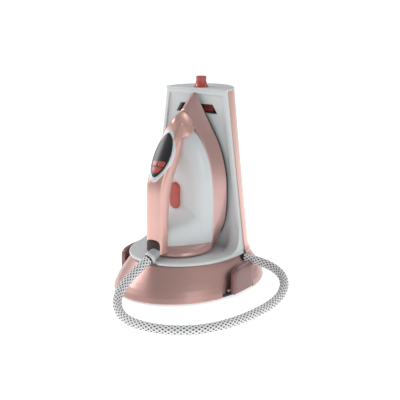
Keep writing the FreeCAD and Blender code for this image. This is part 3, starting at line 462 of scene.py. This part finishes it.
DRUM_HALF = (112.7, 148.0)
DRUM_TOP = 54.2
DRUM_LINE = ((3.2, 0.992), (5.0, 1.0), (12.0, 0.985), (21.0, 0.95), (30.0, 0.905), (39.0, 0.855),
             (47.0, 0.81), (53.0, 0.777), (54.0, 0.768), (DRUM_TOP, 0.75))
LATCH_MIDDLE = -14.0
LATCH_PLACE = 108.0
LATCH_LEVEL = 27.0
BAY_FLOOR = 95.0
BAY_HALF = 30.0
SCOOP_PLACE = (124.0, LATCH_MIDDLE - BAY_HALF - 4.0)
SCOOP_RADIUS = 26.0
HOSE_END = Vector((72.2, 15.9, 47.0))
PORT_AIM = Vector((0.898, 0.44, 0.0)).normalized()
PORT_WAY = 13.2


def bay_distance(angle):
    """How far from the middle a ray meets the recess behind a latch."""
    wide, deep = abs(math.cos(angle)), math.sin(angle)
    near = 400.0
    if wide > 0.1 and abs(deep * BAY_FLOOR / wide - LATCH_MIDDLE) < BAY_HALF:
        near = BAY_FLOOR / wide
    off = abs(wide * SCOOP_PLACE[1] - deep * SCOOP_PLACE[0])
    if off < SCOOP_RADIUS:
        run = wide * SCOOP_PLACE[0] + deep * SCOOP_PLACE[1]
        near = min(near, run - math.sqrt(SCOOP_RADIUS ** 2 - off ** 2))
    return near


def make_drum():
    """The domed cover with the two scooped recesses that the latches stand in."""
    count = 720
    heights = [3.2, 4.0] + [5.0 + 1.2 * step for step in range(41)] + [53.8, DRUM_TOP]
    soft = 0.9
    loops = []
    for height in heights:
        share = read_line(DRUM_LINE, height)
        loop = []
        for step in range(count):
            angle = math.tau * step / count
            dome = share / math.hypot(math.cos(angle) / DRUM_HALF[0], math.sin(angle) / DRUM_HALF[1])
            bay = bay_distance(angle)
            gap = abs(dome - bay)
            reach = min(dome, bay) - soft * math.log(1.0 + math.exp(-min(gap / soft, 30.0)))
            loop.append((reach * math.cos(angle), reach * math.sin(angle), height))
        loops.append(loop)
    loops.append([(0.82 * x, 0.82 * y, DRUM_TOP) for x, y, _ in loops[-1]])
    # painted shade: the drum is the same rose lacquer as the rear cover, here in an evenly darker copy for
    # the shade under the ledge; its satin gloss is its own
    make_piece("drum_cover", skin(loops, False, False), "stand", "rose_plastic", ["base_drum"],
               finish=lacquer("drum_lacquer_painted_shade", (0.58, 0.35, 0.32), 0.44, 0.6))


def make_latches():
    """The two side latches, each a rounded plate leaning in its recess, in a darker copy of the mauve lacquer
    that is painted shade.
    """
    outline = ((-27.5, 7.0), (-28.0, 22.0), (-27.0, 39.5), (-21.0, 45.5), (-8.0, 48.5), (10.0, 50.0),
               (22.0, 49.5), (27.5, 44.0), (28.0, 26.0), (27.5, 8.5), (23.0, 5.6), (-23.0, 5.6))
    line = smooth_line(outline, 72, closed=True)
    # painted shade: the latches are the mauve lacquer of the skirt, darkened to the shade of the recesses
    # they stand in
    finish = lacquer("latch_lacquer_painted_shade", (0.27, 0.145, 0.14), 0.42, 0.45)
    for side, name in ((1, "right"), (-1, "left")):
        loops = []
        for inset, depth in ((0.93, -3.2), (0.985, -2.6), (1.0, -1.4), (1.0, 3.4), (0.985, 4.8),
                             (0.95, 5.6), (0.8, 6.0), (0.4, 6.1)):
            loops.append([(side * (LATCH_PLACE + depth), LATCH_MIDDLE + point.x * inset,
                           LATCH_LEVEL + (point.y - LATCH_LEVEL) * inset) for point in line])
        make_piece(f"latch_plate_{name}", skin(loops), f"latch_{name}", "mauve_lacquer",
                   [f"side_latch_{name}"], finish=finish)


def make_grommet():
    """The rubber ring where the hose goes through the drum."""
    ring = ((7.4, 0.0), (8.0, 0.2), (8.1, 1.0), (8.1, 6.0), (7.9, 6.7), (7.4, 6.9))
    shape = lathe((*ring, ring[0]), HOSE_END + PORT_AIM * PORT_WAY, PORT_AIM, ends=(False, False))
    make_piece("port_grommet", shape, "stand", "black_rubber")


# ---------------------------------------------------------------- stand

FACE, SPLIT = 17.0, 24.0
STAND_LOW, STAND_HIGH = 61.0, 316.0
FOOT_HALF, TOP_HALF, RIM = 90.0, 57.6, 6.0
LEDGE_HALF = (93.0, 114.0)
NICHE_DEPTH = 3.0
SLOT_LOW, SLOT_HIGH = 281.0, 296.0
SLOT_STEPS = 8
SLOT_DEPTH = 9.0
DIP_HALF, DIP_FRONT = 16.0, -106.0
WING_LINE = ((61.0, -16.0), (64.5, -2.0), (68.0, 4.0), (73.0, 8.5), (84.0, 14.0), (100.0, 17.5))


def make_ledge():
    """The foot of the front shell, a rounded oval shelf with a dip for the hose."""
    loops = []
    for inset, height in ((24.0, 55.0), (2.2, 55.0), (0.9, 55.5), (0.1, 56.8), (0.0, 58.0), (0.3, 59.4),
                          (1.2, 60.5), (2.6, 61.0), (30.0, 61.4), (60.0, 61.4)):
        loop = []
        for step in range(240):
            angle = math.tau * step / 240
            x, y = (LEDGE_HALF[0] - inset) * math.cos(angle), (LEDGE_HALF[1] - inset) * math.sin(angle)
            if abs(x) < DIP_HALF and y < 0.0:
                y = max(y, DIP_FRONT - 8.5 * (x / DIP_HALF) ** 2 + inset * 0.3)
            loop.append((x, min(y, SPLIT), height))
        loops.append(loop)
    make_piece("front_ledge", skin(loops, False, True), "stand", "white_plastic", ["front_shell"])


def face_row(height):
    """One row of the docking face from the middle to the right, as (x, y) pairs."""
    half = mixed(FOOT_HALF, TOP_HALF, (height - STAND_LOW) / (STAND_HIGH - STAND_LOW))
    niche = half - RIM - 0.6
    slot = read_line(((SLOT_LOW, 40.0), (SLOT_HIGH, 31.0)), max(height, SLOT_LOW))
    deep = FACE + NICHE_DEPTH * (1.0 - eased(height, 311.0, 312.4))
    row = [(slot * step / SLOT_STEPS, deep) for step in range(SLOT_STEPS + 1)]
    row += [(mixed(slot, niche - 1.0, step / 6.0), deep) for step in range(1, 7)]
    row += [(niche - 0.4, mixed(deep, FACE, 0.3)), (niche + 0.1, mixed(deep, FACE, 0.85)),
            (niche + 0.6, FACE)]
    row += [(half - 2.2, FACE), (half - 1.2, FACE + 0.2), (half - 0.5, FACE + 0.8), (half - 0.1, FACE + 1.8),
            (half, FACE + 3.0)]
    wing = read_line(WING_LINE, height)
    shaped = []
    for x, y in row:
        pull = eased(x, 58.0, 72.0)
        shaped.append((x, y - pull * max(y - wing, 0.0)))
    return [*shaped, (half + 0.2, SPLIT)]


def make_face():
    """The docking face: rim, shallow niche, slot with walls, and the fillets down to the ledge."""
    heights = [STAND_LOW - 0.5] + [STAND_LOW + 1.3 * step for step in range(31)]
    heights += [103.0 + 6.0 * step for step in range(30)]
    heights += [SLOT_LOW, 286.0, 291.0, SLOT_HIGH, 303.0, 308.0, 310.8, 311.3, 311.8, 312.3, 313.0, 315.0]
    heights += [STAND_HIGH, 318.4]
    rows = []
    for height in heights:
        half_row = face_row(height)
        row = [(-x, y, height) for x, y in reversed(half_row[1:])]
        rows.append(row + [(x, y, height) for x, y in half_row])
    points, faces = skin(rows, False, False, closed=False)
    count, middle = len(rows[0]), len(rows[0]) // 2
    left, right = middle - SLOT_STEPS, middle + SLOT_STEPS
    first, last = heights.index(SLOT_LOW), heights.index(SLOT_HIGH)
    open_faces = []
    for face in faces:
        row, step = divmod(face[0], count)
        if not (first <= row < last and left <= step < right):
            open_faces.append(face)
    rim = [(first, step) for step in range(left, right + 1)]
    rim += [(row, right) for row in range(first + 1, last + 1)]
    rim += [(last, step) for step in range(right - 1, left - 1, -1)]
    rim += [(row, left) for row in range(last - 1, first, -1)]
    start = len(points)
    for row, step in rim:
        x, y, z = points[row * count + step]
        points.append((x, y + SLOT_DEPTH, z))
    for index, (row, step) in enumerate(rim):
        beyond = (index + 1) % len(rim)
        after = rim[beyond]
        open_faces.append((row * count + step, after[0] * count + after[1], start + beyond, start + index))
    make_piece("docking_face", (points, open_faces), "stand", "white_plastic", ["front_shell"])


def half_oval(half, deep, height, front, inset=0.0, count=97):
    """The part of an oval behind a plane of constant y, from left to right."""
    start = math.asin(min((front - FACE) / deep, 1.0))
    loop = []
    for step in range(count):
        angle = math.pi - start - (math.pi - 2.0 * start) * step / (count - 1)
        loop.append(((half - inset) * math.cos(angle), FACE + (deep - inset) * math.sin(angle), height))
    return loop


REAR_LOW = 55.4


def make_rear_shell():
    """The rose back of the stand, flared at its foot, with a folded front edge."""
    halves = ((REAR_LOW, 93.5), (56.5, 95.6), (59.0, 95.0), (63.0, 93.2), (69.0, 91.6), (80.0, 90.1),
              (318.6, 58.8))
    deeps = ((REAR_LOW, 79.0), (56.5, 81.4), (59.0, 80.4), (63.0, 77.8), (69.0, 75.6), (80.0, 75.4),
             (318.6, 74.0))
    heights = [REAR_LOW, 56.0, 57.0, 59.0, 61.0, 63.0, 66.0, 69.0, 74.0, 80.0]
    heights += [80.0 + 11.7 * step for step in range(1, 20)] + [306.0, 315.0, 318.4]
    loops = []
    for height in heights:
        half, deep = read_line(halves, height), read_line(deeps, height)
        outer = half_oval(half, deep, height, SPLIT + 0.3)
        (first, front, _), (last, _, _) = outer[0], outer[-1]
        fold = front - 0.1
        loops.append([(first + 2.5, fold, height), (first + 0.4, fold, height), *outer,
                      (last - 0.4, fold, height), (last - 2.5, fold, height)])
    low = [(0.8 * x, FACE + 0.8 * (y - FACE), REAR_LOW) for x, y, _ in loops[0]]
    shape = skin([low, *loops], False, False, closed=False)
    make_piece("rear_cover", shape, "stand", "rose_plastic", ["rear_shell"])


KNOB_Y = 34.0
CAP_HALF, CAP_DEEP = 58.9, 73.8


def make_cap():
    """The white cap with rounded edges and the well of the knob."""
    loops = []
    for inset, height in ((2.0, 318.5), (0.4, 318.6), (0.0, 319.0), (0.0, 320.0), (0.5, 320.9),
                          (1.5, 321.6), (3.0, 321.95), (5.0, 322.0)):
        line = FACE - 0.6 + inset
        back = [(x, max(y, line), z) for x, y, z in half_oval(CAP_HALF, CAP_DEEP, height, FACE, inset)]
        front = [(mixed(back[-1][0], back[0][0], step / 24.0), line, height) for step in range(1, 24)]
        loops.append([*back, *front])
    outer = loops[-1]
    for radius, height in ((14.5, 322.0), (12.9, 321.9), (12.4, 321.4), (12.3, 320.0), (12.3, 315.0),
                           (4.0, 314.9)):
        ring = []
        for x, y, _ in outer:
            aim = Vector((x, y - KNOB_Y, 0.0)).normalized()
            ring.append((aim.x * radius, KNOB_Y + aim.y * radius, height))
        loops.append(ring)
    make_piece("stand_cap", skin(loops, True, False), "stand", "white_plastic", ["top_cap"], sharp=50.0)


def make_knob():
    """The coral press knob, waisted above its flared foot."""
    profile = ((0.5, 322.1), (11.0, 322.1), (11.4, 322.6), (11.3, 323.4), (10.4, 325.0), (9.3, 327.2),
               (8.6, 330.0), (8.35, 333.0), (8.5, 336.0), (8.55, 337.6), (8.2, 338.8), (7.3, 339.4),
               (5.0, 339.5), (0.5, 339.5))
    make_piece("press_knob", lathe(profile, (0.0, KNOB_Y, 0.0)), "knob", "coral_plastic", ["lock_knob"])


# ---------------------------------------------------------------- iron

SOLE_HALF = ((7.0, 309.0), (30.5, 267.0), (50.0, 231.0), (61.5, 190.0), (64.0, 150.0), (61.0, 112.0),
             (53.0, 90.0))
SKIRT_HALF = ((8.0, 285.5), (21.5, 264.0), (38.5, 236.5), (52.5, 197.0), (57.0, 150.0), (56.8, 108.0),
              (55.5, 84.0))
BODY_HALF = ((19.5, 258.0), (38.5, 234.5), (52.5, 196.0), (57.0, 150.0), (56.5, 108.0), (54.0, 92.0))
CROWN_HALF = ((9.0, 229.0), (20.0, 212.0), (30.0, 186.0), (33.0, 150.0), (33.0, 110.0), (33.0, 92.0))
SKIRT_LOW, SKIRT_TOP, CROWN = 11.3, -17.0, -42.0
SOLE_NOSE, SKIRT_NOSE = 313.5, 291.5
SKIRT_HEEL, BODY_LOW = 63.0, 76.4
HANDLE_OUTER = ((-17.9, 280.0), (-40.0, 273.0), (-59.0, 256.0), (-79.5, 225.5), (-98.0, 193.5),
                (-104.0, 175.0), (-105.5, 140.0), (-106.0, 105.0), (-106.5, 70.7))
HANDLE_MIDDLE = ((-17.9, 273.0), (-42.0, 252.0), (-62.0, 222.0), (-82.0, 191.0), (-89.5, 170.0),
                 (-91.5, 140.0), (-92.0, 105.0), (-92.5, 70.7))
HANDLE_INNER = ((-17.9, 258.0), (-36.0, 238.0), (-49.0, 212.0), (-62.0, 188.0), (-71.0, 164.0),
                (-77.0, 125.0), (-78.5, 70.7))
HANDLE_WIDTH = ((0.0, 3.5), (0.02, 7.0), (0.05, 11.0), (0.1, 14.5), (0.2, 17.2), (0.35, 17.4), (0.6, 16.4),
                (0.85, 15.6), (1.0, 14.6))


def make_skirt():
    """The mauve heat skirt between the sole and the white body."""
    low = boat(SOLE_HALF, SOLE_NOSE, SKIRT_HEEL, 46.0, SKIRT_LOW)
    high = boat(SKIRT_HALF, SKIRT_NOSE, SKIRT_HEEL, 54.0, SKIRT_TOP)
    inner = boat(SKIRT_HALF, SKIRT_NOSE, SKIRT_HEEL, 54.0, SKIRT_TOP, 7.0)
    loops = [boat(SOLE_HALF, SOLE_NOSE, SKIRT_HEEL, 46.0, SKIRT_LOW, 5.0)]
    for share in (0.0, 0.01, 0.05, 0.3, 0.6, 0.9, 0.97):
        loops.append(blended(low, high, share, mixed(SKIRT_LOW, SKIRT_TOP, share)))
    loops += [blended(high, inner, 0.05, SKIRT_TOP + 0.15), blended(high, inner, 0.15, SKIRT_TOP - 0.1),
              blended(high, inner, 1.0, SKIRT_TOP - 0.1)]
    make_piece("skirt_shell", skin(loops, True, True), "iron", "mauve_lacquer", ["heat_skirt"])


def make_body():
    """The white body, rounded from the skirt up to its flat crown."""
    low = boat(BODY_HALF, 266.0, BODY_LOW, 52.0, SKIRT_TOP)
    high = boat(CROWN_HALF, 235.0, BODY_LOW + 4.0, 31.0, CROWN)
    loops = [blended(low, high, 0.04, SKIRT_TOP - 0.2)]
    for step in range(0, 15):
        turn = 0.5 * math.pi * step / 14.0
        loops.append(blended(low, high, 1.0 - math.cos(turn), mixed(SKIRT_TOP - 0.8, CROWN, math.sin(turn))))
    middle = [(0.0, CROWN, 155.0)] * len(low)
    loops += [blended(high, middle, share, CROWN) for share in (0.3, 0.7, 0.96)]
    make_piece("body_cover", skin(loops), "iron", "white_plastic", ["body_shell"])


HEEL_START = -16.0


def heel_plan(half, reach, power, height, count=64):
    """A level outline behind the heel: half a rounded wedge that points to the handle."""
    loop = []
    for step in range(count + 1):
        angle = math.pi * step / count
        wide, deep = math.cos(angle), math.sin(angle)
        loop.append((half * math.copysign(abs(wide) ** (2.0 / power), wide),
                     HEEL_START - reach * deep ** (2.0 / power), height))
    return loop


def make_nose_cover():
    """The rose cover over the nose of the body, where the handle bar grows out of it."""
    low_half = ((9.0, 282.0), (22.0, 264.5), (38.5, 236.5), *BODY_HALF[2:])
    high_half = ((6.5, 262.0), (12.5, 248.0), (16.0, 230.0), (17.0, 190.0), (17.0, 130.0))
    low = boat(low_half, 288.0, BODY_LOW, 52.0, SKIRT_TOP)
    high = boat(high_half, 270.5, BODY_LOW, 15.0, CROWN)
    loops = []
    for step in range(17):
        turn = 0.5 * math.pi * step / 16.0
        level = mixed(SKIRT_TOP + 0.5, -45.0, math.sin(turn))
        lowest = 263.0 + 0.5 * (level - SKIRT_TOP)
        loop = blended(low, high, 1.0 - math.cos(turn), level)
        widest = max(abs(x) for x, _, z in loop if z >= lowest)
        loops.append([(min(max(x, -widest), widest), y, max(z, lowest)) for x, y, z in loop])
    make_piece("nose_cover", skin(loops), "iron", "rose_plastic")


def make_saddle():
    """The white bridge between the body and the foot of the handle, hollowed on top for the fingers."""
    loops = [heel_plan(half, reach, power, height) for half, reach, power, height in (
        (52.0, 66.5, 1.3, 77.0), (53.0, 68.0, 1.3, 78.0), (54.5, 68.5, 1.3, 86.0), (55.0, 68.5, 1.31, 94.0),
        (55.3, 67.0, 1.33, 101.0), (55.5, 63.0, 1.38, 107.0), (55.5, 56.0, 1.48, 112.5),
        (55.5, 48.0, 1.62, 117.0), (55.5, 41.0, 1.8, 121.0), (55.5, 35.0, 2.0, 125.0),
        (55.3, 30.5, 2.3, 129.0), (54.8, 27.5, 2.6, 134.0), (54.0, 25.6, 2.9, 141.0),
        (53.0, 24.6, 3.1, 150.0))]
    make_piece("saddle_bridge", skin(loops), "iron", "white_plastic", ["rear_saddle"])


def make_heel_plate():
    """The mauve band that closes the iron under its heel and runs out under the handle."""
    loops = [heel_plan(half, reach, power, height) for half, reach, power, height in (
        (52.0, 69.5, 2.25, 62.9), (53.4, 70.8, 2.3, 63.4), (53.9, 71.2, 2.3, 65.0), (53.9, 71.2, 2.25, 67.5),
        (53.7, 70.8, 2.05, 70.5), (53.5, 70.2, 1.8, 73.5), (53.3, 69.5, 1.55, 76.0), (53.0, 68.6, 1.36, 77.6),
        (51.0, 66.0, 1.3, 77.7))]
    make_piece("heel_plate_cover", skin(loops), "iron", "mauve_lacquer", ["heel_plate"])


def handle_part(near, far, tuck, squareness, count=72, steps=20):
    """Half of the handle bar: a rounded section from one line of the handle to another."""
    lines = [smooth_line(line, count) for line in (near, far)]
    loops = []
    for index in range(count):
        start, stop = (Vector((0.0, *line[index][:2])) for line in lines)
        half = read_line(HANDLE_WIDTH, index / (count - 1)) - tuck
        loop = []
        for step in range(steps + 1):
            angle = math.pi * step / steps
            across = half * math.copysign(abs(math.cos(angle)) ** squareness, math.cos(angle))
            spot = start.lerp(stop, math.sin(angle) ** squareness)
            loop.append((across, spot.y, spot.z))
        loops.append(loop)
    return skin(loops)


def make_handle():
    """The handle bar in two halves that meet in a crease along its sides."""
    make_piece("handle_front", handle_part(HANDLE_MIDDLE, HANDLE_OUTER, 0.0, 0.56), "iron", "rose_plastic",
               ["handle_upper"], sharp=50.0)
    make_piece("handle_back", handle_part(HANDLE_MIDDLE, HANDLE_INNER, 0.5, 0.66), "iron", "rose_plastic",
               ["handle_lower"], sharp=50.0)


DISPLAY_MIDDLE = Vector((0.0, -79.5, 225.5))
DISPLAY_UP = Vector((0.0, 0.545, 0.838))
DISPLAY_OUT = Vector((0.0, -0.838, 0.545))
GLASS_HALF, GLASS_BEND = 15.6, 3.0


def almond(half_wide, half_long, point, count=72):
    """An almond as (across, up) pairs; point is how much its ends draw in."""
    loop = []
    for step in range(count):
        angle = math.tau * step / count
        wide, high = math.cos(angle), math.sin(angle)
        loop.append((half_wide * math.copysign(abs(wide) ** (1.0 + point), wide), half_long * high))
    return loop


def on_display(across, up, out=0.0):
    """A place on the display, from its middle."""
    return DISPLAY_MIDDLE + Vector((across, 0.0, 0.0)) + DISPLAY_UP * up + DISPLAY_OUT * out


def make_display():
    """White bezel, black lens wrapped over the handle, three coral keys."""
    bezel = pillow(almond(17.8, 45.5, 0.14), 1.0, 5.0, 0.035, on_display(0, 0, -0.5), DISPLAY_UP, DISPLAY_OUT,
                   bend=4.0)
    make_piece("display_frame", bezel, "iron", "white_plastic", ["display_bezel"])
    lens = pillow(almond(GLASS_HALF, 38.5, 0.2), 1.0, 3.0, 0.03, on_display(0, 0, 0.5), DISPLAY_UP,
                  DISPLAY_OUT, bend=GLASS_BEND)
    make_piece("display_glass", lens, "iron", "black_gloss", ["display_lens", "display_screen"])
    side_key = ((1.0, 4.6), (7.0, 4.9), (11.6, 4.6), (12.0, 3.4), (11.4, 0.0), (10.4, -3.6), (9.8, -4.4),
                (5.5, -4.6), (1.0, -4.4), (0.6, -3.4), (0.5, 0.0), (0.6, 3.8))
    low_key = ((-8.8, 4.4), (0.0, 4.6), (8.8, 4.4), (9.1, 3.2), (7.2, -1.2), (4.2, -4.8), (0.0, -6.2),
               (-4.2, -4.8), (-7.2, -1.2), (-9.1, 3.2))
    mirrored = tuple((-x, y) for x, y in side_key)
    keys = (("plus", side_key, -15.5), ("minus", mirrored, -15.5), ("power", low_key, -25.5))
    for name, outline, up in keys:
        line = [(point.x, point.y) for point in smooth_line(outline, 60, closed=True)]
        shape = pillow(line, 1.0, 2.0, 0.08, on_display(0.0, up, 1.1), DISPLAY_UP, DISPLAY_OUT,
                       bend=GLASS_BEND, reach=GLASS_HALF)
        make_piece(f"key_{name}_cap", shape, f"key_{name}", "coral_plastic", [f"button_{name}"])


def make_steam_button():
    """The coral steam button on the crown of the body: two half rounds with a straight stretch between."""
    count, radius, straight = 56, 9.4, 12.2
    outline = []
    for step in range(count):
        angle = math.tau * (step + 0.5) / count
        wide, high = radius * math.cos(angle), radius * math.sin(angle)
        outline.append((wide, high + math.copysign(straight, high)))
    make_piece("steam_button_cap", pillow(outline, 1.6, 5.0, 0.08, (0.0, -44.0, 154.0)), "steam_key",
               "coral_plastic", ["steam_button"])


COLLAR_PLACE = Vector((4.5, -102.0, 74.5))
HOSE_START = Vector((0.0, -119.0, 64.5))
HOSE_AIM = (HOSE_START - COLLAR_PLACE).normalized()


def make_heel_end():
    """Maroon heel cap, grey collar, white ring, and a black ring inside the collar's mouth as painted shadow
    where the hose comes out.
    """
    cap = pillow(rounded(12.6, 11.0, 3.4, 48), 2.0, 8.0, 0.12, (0.0, -106.6, 83.0), bend=3.0)
    make_piece("heel_cap_cover", cap, "iron", "dark_maroon", ["heel_cap"])
    reach = (HOSE_START - COLLAR_PLACE).length
    collar = ((7.0, -2.0), (8.2, -1.5), (8.6, 2.0), (8.8, 8.0), (8.8, reach * 0.66), (3.0, reach * 0.66))
    make_piece("collar_body", lathe(collar, COLLAR_PLACE, HOSE_AIM), "iron", "grey_plastic", ["hose_collar"])
    ring = ((8.4, 0.60), (9.4, 0.62), (9.9, 0.68), (9.9, 0.80), (9.3, 0.88), (8.3, 0.90), (8.1, 0.80))
    ring = [(radius, reach * share) for radius, share in ring]
    band = lathe((*ring, ring[0]), COLLAR_PLACE, HOSE_AIM, ends=(False, False))
    make_piece("collar_band", band, "iron", "white_plastic", ["collar_ring"])
    # painted shadow: a black ring inside the collar's mouth stands in for the shade of the gap round the hose
    shadow_ring = ((8.25, 0.74), (8.25, 0.88), (8.15, 0.94), (7.85, 0.95), (7.75, 0.84))
    shadow_ring = [(radius, reach * share) for radius, share in shadow_ring]
    shadow_lining = lathe(shadow_ring, COLLAR_PLACE, HOSE_AIM, ends=(False, False))
    make_piece("collar_mouth_painted_shadow", shadow_lining, "iron", "black_rubber")


def make_heel_rest():
    """The dark pad that the heel of the iron stands on."""
    loops = [heel_plan(half, reach, 2.2, height) for half, reach, height in (
        (44.0, 56.0, 61.0), (45.0, 57.0, 61.2), (45.0, 57.0, 62.4), (44.2, 56.2, 62.8))]
    make_piece("heel_pad", skin(loops), "stand", "dark_plastic", ["heel_rest"])


make_drum()
make_latches()
make_grommet()
make_ledge()
make_face()
make_rear_shell()
make_cap()
make_knob()
make_skirt()
make_body()
make_nose_cover()
make_saddle()
make_heel_plate()
make_handle()
make_display()
make_steam_button()
make_heel_end()
make_heel_rest()


# ---------------------------------------------------------------- room

FLOOR_HALF, FLOOR_GLOW = 6.0, 0.70
SKY_LIGHT, SKY_SEEN = 0.38, 1.05
LIGHT_AIM = (0.0, 0.0, 0.15)


def make_floor():
    """A plain light floor that the station stands on."""
    mesh = bpy.data.meshes.new("floor")
    corners = [(x * FLOOR_HALF, y * FLOOR_HALF, 0) for x, y in ((-1, -1), (1, -1), (1, 1), (-1, 1))]
    mesh.from_pydata(corners, [], [(0, 1, 2, 3)])
    floor = bpy.data.objects.new("floor", mesh)
    bpy.context.collection.objects.link(floor)
    shader = Shader("floor_white", (0.9, 0.9, 0.9), 0.6)
    shader.main.inputs["Emission Color"].default_value = (1.0, 1.0, 1.0, 1.0)
    shader.main.inputs["Emission Strength"].default_value = FLOOR_GLOW
    shader.vary_roughness(3.0, 0.55, 0.65)
    mesh.materials.append(shader.material)


def make_light(name, place, size, power):
    """A square softbox that points at the middle of the station."""
    data = bpy.data.lights.new(name, "AREA")
    data.shape = "SQUARE"
    data.size = size
    data.energy = power
    light = bpy.data.objects.new(name, data)
    light.location = place
    light.rotation_euler = (Vector(LIGHT_AIM) - Vector(place)).to_track_quat("-Z", "Y").to_euler()
    bpy.context.collection.objects.link(light)


def make_room():
    """Floor, three softboxes, and a white surround that looks brighter than the light it gives."""
    make_floor()
    world = bpy.data.worlds.new("studio")
    world.use_nodes = True
    tree = world.node_tree
    seen = tree.nodes.new("ShaderNodeLightPath")
    strength = tree.nodes.new("ShaderNodeMapRange")
    strength.inputs["To Min"].default_value = SKY_LIGHT
    strength.inputs["To Max"].default_value = SKY_SEEN
    tree.links.new(seen.outputs["Is Camera Ray"], strength.inputs["Value"])
    tree.links.new(strength.outputs["Result"], tree.nodes["Background"].inputs["Strength"])
    tree.nodes["Background"].inputs["Color"].default_value = (1.0, 1.0, 1.0, 1.0)
    bpy.context.scene.world = world
    make_light("key", (-1.7, -0.5, 1.25), 0.9, 19.0)
    make_light("fill", (1.6, -0.6, 0.7), 0.8, 4.0)
    make_light("back", (0.6, 1.4, 1.5), 1.0, 9.0)
    bpy.context.scene.view_settings.view_transform = "Standard"


make_room()
